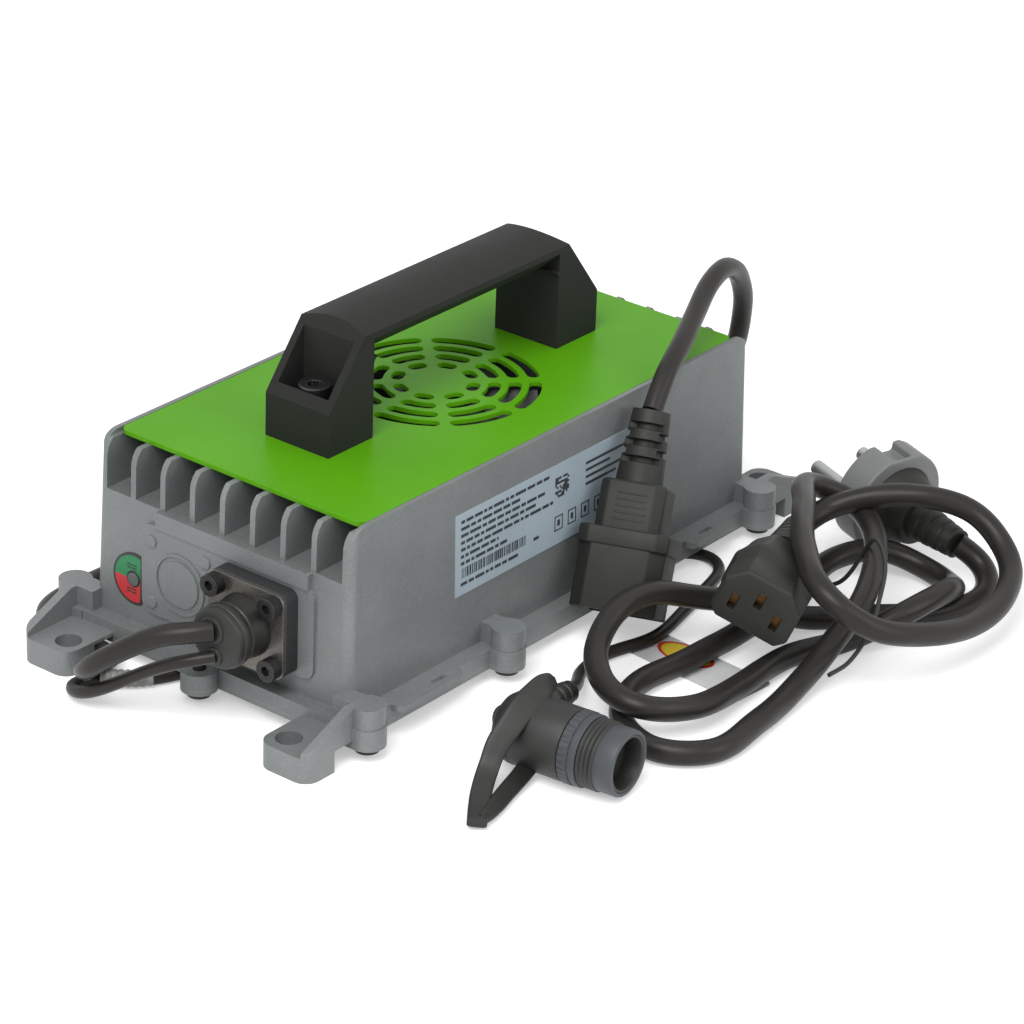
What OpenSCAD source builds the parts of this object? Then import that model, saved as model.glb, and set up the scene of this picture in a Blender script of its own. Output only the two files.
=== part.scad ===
// Forklift battery charger: a die-cast finned housing on four feet, with a fan under
// a grille plate, a carrying handle, a two-cord gland, a mains pigtail with an inline
// plug, a battery lead with a right-angle connector, and a separate mains lead.
// X runs along the housing from its middle, the gland is at -X, the rating label at -Y,
// and Z is the height above the floor that the four feet stand on.

/* [Housing] */
// Length of the housing across its top
body_l = 192; // [180:1:210]
// Width of the housing across its top
body_w = 98; // [94:1:110]
// Height of the top plate's face above the floor
body_top_z = 68; // [66:0.5:80]
// Thickness of the cast walls
wall_t = 3; // [2.4:0.1:4]
// How far a wall leans out for each unit of height, as a share
draft_share = 0.026; // [0:0.002:0.05]
// Radius of the upright corners
corner_r = 3; // [1:0.5:6]
// Radius of the rounded ends of the walls and fins
end_r = 7; // [3:0.5:9]
// Number of fins between the two side walls
fin_count = 7; // [5:1:9]
// Thickness of a fin
fin_t = 2; // [1.5:0.1:3]
// Height of a fin above the ceiling of the housing
fin_h = 15.5; // [15.5:0.1:20]
// Thickness of the cast ceiling under the fins
ceiling_t = 3; // [2:0.5:5]

/* [Flange and cover] */
// Height of the flange's upper face
flange_z = 11; // [9:0.5:13]
// Height of the seam between the housing and its cover
seam_z = 6; // [5.5:0.1:7.5]
// Thickness of the bottom cover
cover_t = 1.6; // [1:0.1:1.8]
// How far the flange reaches out from the foot of the wall
rim_out = 5.4; // [4.5:0.1:7]
// How far a slotted tab reaches out past the flange
tab_out = 3.6; // [2:0.1:5]
// Thickness of a slotted tab
tab_t = 2; // [1.5:0.1:3]
// Radius of a cover screw boss
boss_r = 5.2; // [4.5:0.1:6]
// Height of the top of the side bosses
boss_top_z = 17.5; // [15:0.5:22]
// How far the near corner bosses stand past the end of the top
near_boss_out = 2; // [0:0.5:4]
// Place of the middle bosses along the length
mid_boss_x = 34; // [30:1:40]
// How far the far corner bosses stand short of the end of the top
far_boss_in = 1.5; // [-1:0.5:4]
// How far a side boss stands out from the foot of the wall
boss_out = 7.5; // [6.5:0.1:9]

/* [Feet] */
// How far a foot hole stands past the end of the top
foot_hole_out = 19.8; // [18:0.1:22]
// Half the distance between the foot holes across the width
foot_hole_y = 43.7; // [43:0.1:44.5]
// Radius of a foot hole
foot_hole_r = 4.1; // [3:0.1:4.5]
// Length of a foot block
foot_l = 11.8; // [11.6:0.1:12.2]
// Width of a foot
foot_w = 19.5; // [19:0.1:20.5]
// Height of a foot block
foot_h = 8.2; // [8:0.1:8.6]
// Radius of a foot's corners
foot_r = 5; // [2:0.5:6]
// Thickness of the rib along a foot's outer edge
rib_t = 3; // [2:0.1:4]

/* [Top plate and fan] */
// How much shorter the top plate is than the housing
plate_short = 12.7; // [8:0.1:20]
// Thickness of the top plate
plate_t = 1.5; // [1:0.1:2]
// Inner radius of the grille's first ring of slots
grille_r = 10; // [8:0.5:12]
// Width of a grille slot
slot_w = 4; // [3:0.1:4.6]
// Web between two rings of slots
slot_web = 2.2; // [1.8:0.1:3]
// Number of slots round each ring
slot_count = 8; // [6:1:12]
// Side of the square fan frame
fan_w = 70; // [68:0.5:72]
// Depth of the fan frame
fan_h = 15; // [12:0.5:15]
// Radius of the fan's hub
hub_r = 15; // [12:0.5:17]
// Number of fan blades
blade_count = 7; // [5:1:11]

/* [Handle] */
// Distance from the middle to a leg's outer face
leg_out_x = 64; // [62:0.5:66]
// Distance from the middle to a leg's inner face
leg_in_x = 44; // [42:0.5:46]
// Width of the handle
handle_w = 24.6; // [22:0.2:28]
// Height of the handle above the top plate
handle_h = 36; // [34:0.5:45]
// Height of the hand gap
gap_h = 26; // [24:0.5:26.5]
// Radius of the hand gap's upper corners
gap_r = 2.4; // [1:0.2:3]

/* [Gland] */
// Place of the gland across the width
gland_y = -16.5; // [-18:0.5:-15]
// Height of the gland
gland_z = 30.7; // [30:0.1:31.5]
// Width of the clamp plate
gland_w = 29.3; // [28:0.1:30]
// Height of the clamp plate
gland_h = 27.2; // [26:0.1:28]
// Thickness of the moulded block
block_t = 5; // [4:0.1:6]
// Thickness of the steel clamp plate
clamp_t = 1.5; // [1:0.1:2]
// Radius of the cord boot
boot_r = 10; // [9.5:0.1:10.5]

/* [Cords] */
// Diameter of the mains pigtail
ac_d = 6.6; // [6:0.1:6.8]
// Diameter of the battery lead
dc_d = 4; // [3.5:0.1:4.2]
// Diameter of the separate mains lead
lead_d = 7.5; // [6.5:0.1:7.6]

/* [Inline plug] */
// Width of the plug's shroud
shroud_w = 27; // [26:0.1:28]
// Depth of the plug's shroud
shroud_d = 21; // [20:0.1:21.5]
// Length of the plug's shroud
shroud_l = 20; // [18:0.5:22]
// Wall of the plug's shroud
shroud_t = 1.8; // [1.4:0.1:2.2]
// Width of the plug's grip
grip_w = 19.5; // [18:0.1:21]
// Depth of the plug's grip
grip_d = 16.5; // [15:0.1:17]

/* [Battery connector] */
// Radius of the connector's barrel
barrel_r = 11; // [10.5:0.1:11.2]
// Radius of the connector's front ring
front_r = 10; // [9.6:0.1:10.2]
// Radius of the connector's insert
insert_r = 8.2; // [7.5:0.1:8.4]

/* [Mains lead ends] */
// Width of the lead's connector
socket_w = 26.5; // [25:0.1:27]
// Depth of the lead's connector
socket_d = 20; // [19:0.1:20.5]
// Length of the lead's connector without its neck
socket_l = 38; // [34:0.5:39]
// Radius of the wall plug's face
face_r = 17.5; // [16.5:0.1:18]
// Thickness of the wall plug's face
face_t = 11; // [10:0.5:12]

/* [Hidden] */
$fn = 64;
// One overrun for every cut
over = 1;
// Facets of a hull's own children
hull_fn = 32;
// A thin slice for the ends of a hull
slice = 0.02;
// Clearance round pieces that drop into a pocket
seat_gap = 0.2;
// Clearance round screw shanks
screw_gap = 0.1;

// Housing heights and half sizes
ledge_z = body_top_z - plate_t - fin_h;
ceiling_z = ledge_z - ceiling_t;
cover_z = seam_z - cover_t;
function half_l(z) = body_l / 2 + draft_share * (body_top_z - z);
function half_w(z) = body_w / 2 + draft_share * (body_top_z - z);
rim_x = half_l(flange_z) + rim_out;
rim_y = half_w(flange_z) + rim_out;
rim_r = 6;
groove_w = body_w - 2 * wall_t;
fin_gap = (groove_w - fin_count * fin_t) / (fin_count + 1);
plate_w = groove_w + 2.5 * wall_t / 3;
plate_l = body_l - plate_short;
plate_z = body_top_z - plate_t;

// Cover screws
screw_y = half_w(flange_z) + boss_out;
near_boss_x = body_l / 2 + near_boss_out;
far_boss_x = body_l / 2 - far_boss_in;
end_screw_x = rim_x + 3 * rim_out / 5;
lobe_r = 5.6;
screw_r = 2;
head_r = 3.6;
head_h = 2;
screw_in = 8;
side_screws = [[-near_boss_x, 1], [-mid_boss_x, 1], [far_boss_x, 1],
    [-near_boss_x, -1], [-mid_boss_x, -1], [far_boss_x, -1]];
socket_r = 1.4;
socket_deep = 1.2;

// Cover seal
seal_w = 2;
seal_t = 1.2;

// Slotted tabs
near_tab_in = 26;
near_tab_x = body_l / 2 - near_tab_in;
near_tab_l = 30;
far_tab_in = 28.5;
far_tab_x = body_l / 2 - far_tab_in;
far_tab_l = 21;
tab_y = rim_y + tab_out;
tab_r = 3;
tab_slot_l = 6;
tab_slot_w = 1.5;
near_slot_x = near_tab_x - near_tab_l / 5;
far_slot_x = far_tab_x + tab_slot_w / 3;
slot_y = tab_y - 2.2 * tab_slot_w;
boss_web = 7;

// Feet
foot_hole_x = body_l / 2 + foot_hole_out;
foot_reach = 7.2;
arm_z = 7;
foot_tip_x = foot_hole_x + foot_reach;
foot_in_y = foot_hole_y - 1.5 * foot_hole_r;
foot_out_y = foot_in_y + foot_w;
foot_root_x = body_l / 2;
rib_tip_z = 9.5;
rib_run = 19;

// Raised panel and marks on the gland end
panel_x = half_l(flange_z) + 0.6;
panel_in = 12;
panel_y0 = panel_in - body_w / 2;
label_in = 14.7;
label_y = body_w / 2 - label_in;
label_cut = 3.3;
label_cut_y = label_y - label_cut;
panel_gap = 0.5;
panel_y1 = label_cut_y - panel_gap;
panel_z0 = 16.5;
panel_z1 = 46;
panel_r = 4;
strip_y0 = panel_y0 + panel_r / 2;
strip_y1 = panel_y1 - 1.5 * panel_r;
strip_z0 = 45.5;
strip_rise = 0.5;
ring_y = 15;
ring_z = 30;
ring_r = 9.8;
ring_t = 0.8;
pip_r = 2;
pip_in = 4;
pip_places = [[panel_y1 - pip_in, 40.5], [panel_y1 - pip_in, 20.5], [5, 40.7]];
panel_deep = 4;

// Indicator
label_z = 25.1;
label_r = 8.3;
label_t = 0.4;
lens_r = 2.1;
lens_out = 0.8;
lens_len = 7;
wall_lean = atan(draft_share);

// Handle
handle_top_z = body_top_z + handle_h;
crown_rise = 2;
lip_h = 2;
grip_under_w = 12;
shoulder_x = 48.5;
shoulder_drop = 22;
pocket_in_x = 50;
pocket_out_x = leg_out_x - 2.5;
pocket_w = 19.6;
pocket_drop = 24;
handle_screw_x = 56.3;
handle_screw_r = 3;
handle_head_r = 5;
handle_head_h = 6;
handle_screw_in = 10;
fin_boss_r = 5.5;
gap_top_z = body_top_z + gap_h;

// Top plate and its grille
plate_r = 3;
spoke_w = 3;
ring_count = 4;
arc_steps = 8;
cap_steps = 6;
half_turn = 180;

// Fan
fan_z = ledge_z;
fan_hole_in = 4.25;
fan_hole = fan_w / 2 - fan_hole_in;
fan_wall = 3.5;
blade_r = fan_w / 2 - fan_wall;
fan_hole_r = 1.8;
fan_screw_r = 1.45;
fan_screw_in = 2.6;
fan_head_r = 2.8;
fan_head_h = 2;
fan_flange_t = 3;
fan_run = 1.2;
fan_corner_r = 3;
throat_r = blade_r + fan_run;
rotor_lift = 1.5;
rotor_h = fan_h - 2 * rotor_lift - 1;
shaft_r = 1.5;
shaft_gap = 0.05;
bush_r = 4;
hub_t = 2;
cup_t = 2;
strut_w = 3.4;
strut_count = 4;
blade_t = 1.2;
blade_tilt = 38;
blade_deep = 12.5;
blade_in = 1;

// Gland
block_x = panel_x + block_t;
clamp_x = block_x + clamp_t;
gland_corner_r = 3;
boot_l = 5.5;
boot_neck_r = 8.8;
boot_neck_l = 4;
boot_disc_r = 9.5;
boot_disc_l = 2.92;
boot_front_x = clamp_x + boot_l + boot_neck_l + boot_disc_l;
gland_screw_y = gland_w / 2 - 3.6;
gland_screw_z = gland_h / 2 - 3.6;
gland_head_r = 3.4;
gland_head_h = 3.6;
gland_shank_r = 1.9;
gland_screw_in = 4;
gland_bore_r = 7;
hex_r = 1.7;
hex_deep = 1.8;

// Rating label
rating_x0 = -50;
rating_x1 = 38;
rating_z0 = 30;
rating_z1 = 56.5;
rating_t = 0.25;

// Board and what it carries
board_z = 14;
board_t = 1.6;
board_in = 11;
board_side_in = 7;
board_l = body_l - 2 * board_in;
board_w = body_w - 2 * board_side_in;
board_r = 3;
post_in = 7;
post_side_in = 6;
post_x = board_l / 2 - post_in;
post_y = board_w / 2 - post_side_in;
post_r = 3;
post_bore_r = 1.2;
post_bore = 8;
board_hole_r = 1.7;
board_head_r = 2.8;
board_head_h = 1.8;
part_z = board_z + board_t;
rail_t = 5;
rail_y = body_w / 2 - rail_t;
pad_t = 0.5;
device_t = 4.6;
bar_t = 2;
inner_y = rail_y - pad_t - device_t - bar_t;
cap_r = 11;
cap_room = 3.9;
cap_y = inner_y - cap_r - cap_room;
core_l = 40;
core_room = 2.9;
core_w = inner_y - core_room;
core_h = 27;
core_t = 8;
winding_r = 11;
coil_gap = 2;
coil_x = -42;
coil_y = cap_y - cap_r - coil_gap - core_w / 2;
choke_x = 4;
choke_y = -6;
choke_r = 18;
choke_hole_r = 7;
choke_h = 16;
out_x = 50;
out_y = -8;
out_l = 28;
out_w = 26;
out_h = 24;
cap_h = 28;
cap_bead = 1;
cap_places = [[-58, cap_y], [-30, cap_y]];
rail_in = 41;
rail_l = body_l - 2 * rail_in;
rail_z0 = 18;
rail_z1 = 44;
pad_h = 20;
pad_z = 21;
device_w = 15;
device_h = 20;
device_count = 5;
device_pitch = rail_l / (device_count + 0.5);
lead_w = 1.4;
lead_t = 0.7;
lead_pitch = 5;
bar_h = 8;
bar_z = 29;
led_w = 11;
led_h = 13;
led_t = 1.2;

// Inline plug, leaning on the label side
ac_plug_at = [5.5, -68.3, 10];
ac_plug_tip = [35, -56.7, 63.8];
ac_plug_roll = -18.4;
shroud_ch = 4;
shroud_deep = 17;
collar_l = 4.5;
collar_out = 1;
grip_l = 15.5;
relief_r0 = 6.6;
relief_r1 = 5.6;
relief_groove = 1.2;
relief_count = 3;
blade_pin_w = 4;
blade_pin_t = 2;
blade_pin_l = 13;
pin_half = 7;
pin_rise = 2;
shroud_r = 1.5;

// Battery connector
dc_at = [-71, -89, 11.5];
dc_turn = 5.5;
boot_back = 6;
boot_front = 5;
elbow_r = 11.4;
arm_r0 = 6.6;
arm_r1 = 3.4;
arm_end_x = -41;
arm_end_y = -87;
arm_end_z = 9;
arm_rise = 1.9;
ring_z0 = 16;
ring_l = 8;
thread_l = 6;
front_l = 9.7;
thread_r = 10.5;
insert_deep = 6;
contact_r = 1.8;
contact_half = 3.6;
contact_l = 8;
loop_d = 3.6;
loop_points = [[-77, -88, 13], [-88, -91, 9], [-99, -97, 6], [-107, -104, 4.5],
    [-108, -110, 4], [-100, -111, 3], [-91, -109, 3], [-84, -107, 4]];

// Cord flag
flag_at = [10, -97];
flag_l = 44;
flag_w = 17;
flag_t = 0.2;
flag_turn = -5;
flag_r = 2;

// Lead socket
lead_socket_at = [10.7, -116, 27];
lead_socket_tip = [69.9, -89.4, 22];
lead_socket_roll = -67.4;
socket_ch = 4.5;
socket_slot_w = 2.4;
socket_slot_h = 4.8;
socket_slot_deep = 14;
neck_l = 9;
neck_r0 = 9;
neck_r1 = 6.2;
neck_r2 = 4.6;

// Wall plug
wall_plug_at = [112.4, -107.5, 15.6];
wall_plug_tip = [109, -124, 14];
wall_plug_face = [118.2, -86.5, 18.2];
face_flat = 16.5;
clip_w = 7;
clip_deep = 3;
rear_r0 = 13;
rear_r1 = 9;
tail_r0 = 6.4;
tail_r1 = 4.8;
wall_pin_r = 2.4;
wall_pin_l = 19;
wall_pin_half = 9.5;

// Twist tie
tie_d = 1.4;
tie_points = [[62, -98, 8], [66, -108, 11], [70, -118, 28], [62, -127, 27], [48, -135, 22],
    [36, -139, 15], [28, -138, 9], [20, -137, 8]];

// Routes of the cords, from where each leaves its piece to where it ends, drawn for one
// length of housing; their first points follow the gland end
drawn_half_l = 96;
function follow(count, points) = [for (i = [0 : len(points) - 1])
    i < count ? points[i] - [body_l / 2 - drawn_half_l, 0, 0] : points[i]];
ac_points = follow(18, [[-117, -15, 33], [-122, -11.5, 33], [-127, -4, 31.5], [-131, 3.5, 27],
    [-134, 11, 21.5], [-134.2, 17.5, 16], [-131.2, 23, 11.8], [-126, 26.2, 9.6],
    [-120, 27.4, 8.6], [-114, 28.8, 6.6], [-109.4, 32.6, 4.1], [-107.3, 39, 3.4],
    [-107.3, 46, 3.4], [-107.3, 56, 3.4], [-105.7, 62.8, 3.4], [-101, 68.3, 3.4],
    [-94, 71, 3.4], [-86, 71.5, 3.4], [-50, 70, 3.4], [0, 68, 3.4], [50, 69, 3.4],
    [92, 74, 4], [124, 69, 4], [142, 46, 4], [144, 18, 8], [138, -8, 26], [129, -22, 47],
    [122, -28, 67], [111, -32, 80], [99, -35, 85], [86, -38.5, 83], [70, -45, 79],
    [55, -51, 76], [43, -54.5, 71], [35, -56.7, 63.8]]);
dc_points = follow(13, [[-117, -16, 25], [-122, -11.8, 24.3], [-125.5, -4, 21],
    [-128, 4.5, 15.8], [-130.2, 13, 10], [-131.8, 20.5, 5.6], [-131.4, 27.5, 3.2],
    [-127.6, 31.9, 2.3], [-122.4, 31.7, 2.2], [-118.6, 27.4, 2.2], [-114.6, 21.4, 2.2],
    [-107, 15.8, 2.2], [-96, 11.2, 2.2], [-30, -13, 2.2], [40, -38, 2.2], [55, -43.5, 2.2],
    [64.5, -49, 2.2], [69, -57.5, 2.2], [64.5, -65.5, 2.2], [51, -70, 2.2], [34, -74, 2.2],
    [12, -78, 2.2], [-7, -73, 2.2], [-22, -76, 3], [-32, -83, 6], [-41, -87, 9]]);
lead_points = [[109, -124, 14], [112, -132, 9], [105, -139, 5], [85, -137, 4],
    [65, -119, 4], [49, -106, 5], [34, -98, 13], [20, -89, 17], [4, -83, 23],
    [-9, -82, 24], [-24, -84, 19], [-37, -95, 14], [-40, -110, 12], [-26, -119, 9],
    [0, -118, 5], [28, -117, 4], [49, -126, 5], [66, -136, 12], [84, -137, 12],
    [99, -129, 5], [104, -116, 5], [98, -102, 9], [86, -93, 7], [66, -95, 4],
    [34, -97, 4], [6, -96, 4], [-20, -94, 4], [-38, -104, 4], [-45, -121, 4],
    [-36, -134, 4], [-14, -134, 4], [12, -131, 5], [34, -130, 13], [52, -127, 18],
    [71, -118, 21], [86, -107, 22], [95, -91, 24], [86, -83, 30], [63, -96, 35],
    [36, -115, 36], [21, -133, 33], [27, -146, 24], [44, -153, 18], [66, -156, 13],
    [89, -154, 13], [107, -144, 17], [110, -130, 26], [101, -116, 31], [92, -101, 29],
    [83, -90, 24], [69.9, -89.4, 22]];

// A rectangle with rounded corners, exact on every side
module rrect(l, w, r) {
    square([l - 2 * r, w], center = true);
    square([l, w - 2 * r], center = true);
    for (sx = [-1, 1])
        for (sy = [-1, 1])
            translate([sx * (l / 2 - r), sy * (w / 2 - r)])
                circle(r);
}

// A plate standing across X, from x0 to x1, rounded at its corners
module end_plate(x0, x1, y0, y1, z0, z1, r) {
    translate([x0, (y0 + y1) / 2, (z0 + z1) / 2])
        rotate([90, 0, 90])
            linear_extrude(x1 - x0)
                rrect(y1 - y0, z1 - z0, r);
}

// A round bar along +X from x0 to x1
module bar_x(x0, x1, y, z, r, sides = 64) {
    translate([x0, y, z])
        rotate([0, 90, 0])
            cylinder(h = x1 - x0, r = r, $fn = sides);
}

// A solid whose four walls lean in by the draft, inset from the outer faces
module drafted(z0, z1, inset, r) {
    hull()
        for (z = [z0, z1 - slice])
            for (sx = [-1, 1])
                for (sy = [-1, 1])
                    translate([sx * (half_l(z) - inset - r), sy * (half_w(z) - inset - r), z])
                        cylinder(h = slice, r = r, $fn = hull_fn);
}

// Stands a piece on the line from one point to another, its own Z along the line
module along(from, to, roll = 0) {
    d = to - from;
    translate(from)
        rotate([0, acos(d[2] / norm(d)), atan2(d[1], d[0])])
            rotate([0, 0, roll])
                children();
}

// Sweeps a round cord along a list of points, one ring at each point
function tangent(p, i) = let (a = p[max(i - 1, 0)], b = p[min(i + 1, len(p) - 1)])
    (b - a) / norm(b - a);
function side_of(t) = let (s = cross(t, abs(t[2]) < 0.9 ? [0, 0, 1] : [1, 0, 0]))
    s / norm(s);
function ring(p, i, r, n) = let (t = tangent(p, i), u = side_of(t), v = cross(t, u))
    [for (k = [0 : n - 1]) p[i] + r * (cos(360 * k / n) * u + sin(360 * k / n) * v)];
module cord(p, d, n) {
    m = len(p);
    polyhedron(
        points = [for (i = [0 : m - 1]) each ring(p, i, d / 2, n)],
        faces = concat(
            [[for (k = [0 : n - 1]) k]],
            [for (i = [0 : m - 2]) for (k = [0 : n - 1])
                [i * n + k, (i + 1) * n + k, (i + 1) * n + (k + 1) % n]],
            [for (i = [0 : m - 2]) for (k = [0 : n - 1])
                [i * n + k, (i + 1) * n + (k + 1) % n, i * n + (k + 1) % n]],
            [[for (k = [n - 1 : -1 : 0]) (m - 1) * n + k]]),
        convexity = 10);
}

// Outline of the flange and of the cover, with a lobe at each screw
module rim_outline() {
    rrect(2 * rim_x, 2 * rim_y, rim_r);
    for (s = side_screws) {
        translate([s[0], s[1] * screw_y])
            circle(lobe_r);
        translate([s[0], s[1] * (screw_y + rim_y - lobe_r) / 2])
            square([2 * lobe_r, screw_y - rim_y + lobe_r], center = true);
    }
    for (sx = [-1, 1])
        translate([sx * end_screw_x, 0])
            circle(lobe_r);
}

// Places its children at every cover screw
module at_cover_screws() {
    for (s = side_screws)
        translate([s[0], s[1] * screw_y, 0])
            children();
    for (sx = [-1, 1])
        translate([sx * end_screw_x, 0, 0])
            children();
}

module foot_outline() {
    l = foot_tip_x - foot_root_x;
    translate([foot_root_x + l / 2, foot_in_y + foot_w / 2])
        rrect(l, foot_w, foot_r);
    translate([foot_root_x, foot_in_y])
        square([l / 2, foot_w]);
}

// One foot with its outer rib, before its hole is drilled
module foot() {
    intersection() {
        translate([0, 0, -over])
            linear_extrude(boss_top_z + 2 * over)
                foot_outline();
        union() {
            translate([foot_tip_x - foot_l, foot_in_y, 0])
                cube([foot_l, foot_w, foot_h]);
            translate([foot_root_x, foot_in_y, arm_z])
                cube([foot_tip_x - foot_root_x - foot_l / 2, foot_w, foot_h - arm_z]);
            translate([0, foot_out_y, 0])
                rotate([90, 0, 0])
                    linear_extrude(rib_t)
                        polygon([[foot_tip_x, 0], [foot_tip_x, rib_tip_z],
                            [foot_tip_x - rib_run, boss_top_z], [foot_root_x, boss_top_z],
                            [foot_root_x, arm_z], [foot_tip_x - foot_l, arm_z],
                            [foot_tip_x - foot_l, 0]]);
        }
    }
}

module housing_solid() {
    drafted(seam_z, body_top_z, 0, corner_r);
    translate([0, 0, seam_z])
        linear_extrude(flange_z - seam_z)
            rim_outline();
    // slotted tabs along both sides
    for (sy = [-1, 1]) {
        translate([-near_tab_x, sy * (tab_y - tab_out), flange_z - tab_t])
            linear_extrude(tab_t)
                rrect(near_tab_l, 2 * tab_out, tab_r);
        translate([far_tab_x, sy * (tab_y - tab_out), flange_z - tab_t])
            linear_extrude(tab_t)
                rrect(far_tab_l, 2 * tab_out, tab_r);
    }
    // screw bosses against the side walls
    for (s = side_screws) {
        translate([s[0], s[1] * screw_y, seam_z])
            cylinder(h = boss_top_z - seam_z, r = boss_r);
        translate([s[0] - boss_web / 2, s[1] > 0 ? half_w(seam_z) - wall_t : -screw_y, seam_z])
            cube([boss_web, screw_y - half_w(seam_z) + wall_t, boss_top_z - seam_z]);
    }
    for (sx = [0, 1])
        for (sy = [0, 1])
            mirror([sx, 0, 0])
                mirror([0, sy, 0])
                    foot();
    // raised panel, bare strip and marks on the gland end
    end_plate(-panel_x, -panel_x + panel_deep, panel_y0, panel_y1, panel_z0, panel_z1, panel_r);
    end_plate(-panel_x - strip_rise, -panel_x + panel_deep, strip_y0, strip_y1, strip_z0,
        ledge_z, strip_rise);
    bar_x(-panel_x - strip_rise, -panel_x, ring_y, ring_z, ring_r);
    for (p = pip_places)
        bar_x(-panel_x - strip_rise, -panel_x, p[0], p[1], pip_r);
}

module housing() {
    color("silver")
    difference() {
        union() {
            difference() {
                housing_solid();
                // the hollow under the ceiling
                drafted(seam_z - over, ceiling_z, wall_t, corner_r);
                // air channels between the fins
                for (i = [0 : fin_count])
                    translate([-body_l, -groove_w / 2 + i * (fin_gap + fin_t), ledge_z])
                        cube([2 * body_l, fin_gap, fin_h + plate_t + over]);
                // seat of the top plate
                translate([-body_l, -plate_w / 2 - seat_gap, plate_z])
                    cube([2 * body_l, plate_w + 2 * seat_gap, plate_t + over]);
                // rounded ends of the walls and fins
                for (sx = [0, 1])
                    mirror([sx, 0, 0])
                        translate([half_l(body_top_z - end_r) - end_r, 0, body_top_z - end_r])
                            difference() {
                                translate([0, -body_w, 0])
                                    cube([end_r + over, 2 * body_w, end_r + over]);
                                rotate([90, 0, 0])
                                    cylinder(h = 3 * body_w, r = end_r, center = true);
                            }
                // pocket of the fan
                translate([-fan_w / 2 - seat_gap, -fan_w / 2 - seat_gap, ledge_z])
                    cube([fan_w + 2 * seat_gap, fan_w + 2 * seat_gap, fin_h + over]);
            }
            // bosses under the handle's screws
            for (sx = [-1, 1])
                translate([sx * handle_screw_x, 0, ceiling_z])
                    cylinder(h = plate_z - ceiling_z, r = fin_boss_r);
            // posts that carry the board, and rails that carry the transistors
            for (sx = [-1, 1])
                for (sy = [-1, 1])
                    translate([sx * post_x, sy * post_y, part_z])
                        cylinder(h = ceiling_z - part_z + slice, r = post_r);
            for (sy = [0, 1])
                mirror([0, sy, 0])
                    translate([-rail_l / 2, rail_y, rail_z0])
                        cube([rail_l, half_w(rail_z1) - rail_y - wall_t / 2, rail_z1 - rail_z0]);
        }
        // ring groove of the knock-out
        translate([-panel_x - strip_rise - over, 0, 0])
            difference() {
                bar_x(0, over + strip_rise, ring_y, ring_z, ring_r - ring_t);
                bar_x(-over, 2 * over + strip_rise, ring_y, ring_z, ring_r - 3 * ring_t);
            }
        // passage of the cords and hole of the light
        bar_x(-panel_x - over, -panel_x + 3 * wall_t, gland_y, gland_z, gland_bore_r);
        bar_x(-panel_x - over, -panel_x + 3 * wall_t, label_y, label_z, lens_r + screw_gap);
        for (sy = [-1, 1])
            for (sz = [-1, 1])
                bar_x(-panel_x - over, -panel_x + gland_screw_in, gland_y + sy * gland_screw_y,
                    gland_z + sz * gland_screw_z, gland_shank_r);
        // cover screws
        at_cover_screws()
            translate([0, 0, seam_z - over])
                cylinder(h = over + screw_in, r = screw_r);
        // foot holes
        for (sx = [-1, 1])
            for (sy = [-1, 1])
                translate([sx * foot_hole_x, sy * foot_hole_y, -over])
                    cylinder(h = foot_h + rib_tip_z + 2 * over, r = foot_hole_r);
        // slots in the tabs
        for (sy = [-1, 1]) {
            translate([-near_slot_x, sy * slot_y, seam_z - over])
                linear_extrude(flange_z)
                    rrect(tab_slot_l, tab_slot_w, tab_slot_w / 3);
            translate([far_slot_x, sy * slot_y, seam_z - over])
                linear_extrude(flange_z)
                    rrect(tab_slot_l, tab_slot_w, tab_slot_w / 3);
        }
        // groove of the seal
        translate([0, 0, seam_z - over])
            linear_extrude(over + seal_t)
                seal_outline(seat_gap / 4);
        // threaded holes of the handle, the fan and the board
        for (sx = [-1, 1])
            translate([sx * handle_screw_x, 0, plate_z - handle_screw_in])
                cylinder(h = handle_screw_in + over, r = handle_screw_r);
        for (sx = [-1, 1])
            for (sy = [-1, 1]) {
                translate([sx * fan_hole, sy * fan_hole, ledge_z - fan_screw_in])
                    cylinder(h = fan_screw_in + over, r = fan_screw_r);
                translate([sx * post_x, sy * post_y, part_z - over])
                    cylinder(h = post_bore + over, r = post_bore_r);
            }
    }
}

// Seal in the flange's underside
module seal_outline(grow) {
    difference() {
        rrect(2 * rim_x - rim_out + grow, 2 * rim_y - rim_out + grow, rim_r);
        rrect(2 * rim_x - rim_out - 2 * seal_w - grow, 2 * rim_y - rim_out - 2 * seal_w - grow,
            rim_r - seal_w);
    }
}
module cover_seal() {
    color("dimgray")
    translate([0, 0, seam_z])
        linear_extrude(seal_t)
            seal_outline(0);
}

module bottom_cover() {
    color("gainsboro")
    difference() {
        translate([0, 0, cover_z])
            linear_extrude(cover_t)
                rim_outline();
        at_cover_screws()
            translate([0, 0, cover_z - over])
                cylinder(h = cover_t + 2 * over, r = screw_r + 2 * screw_gap);
    }
}

module cover_screws() {
    color("dimgray")
    at_cover_screws() {
        translate([0, 0, cover_z - head_h])
            difference() {
                cylinder(h = head_h, r = head_r);
                translate([0, 0, -over])
                    cylinder(h = over + socket_deep, r = socket_r, $fn = 6);
            }
        translate([0, 0, cover_z - slice])
            cylinder(h = cover_t + screw_in - over, r = screw_r - screw_gap / 2);
    }
}

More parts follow.
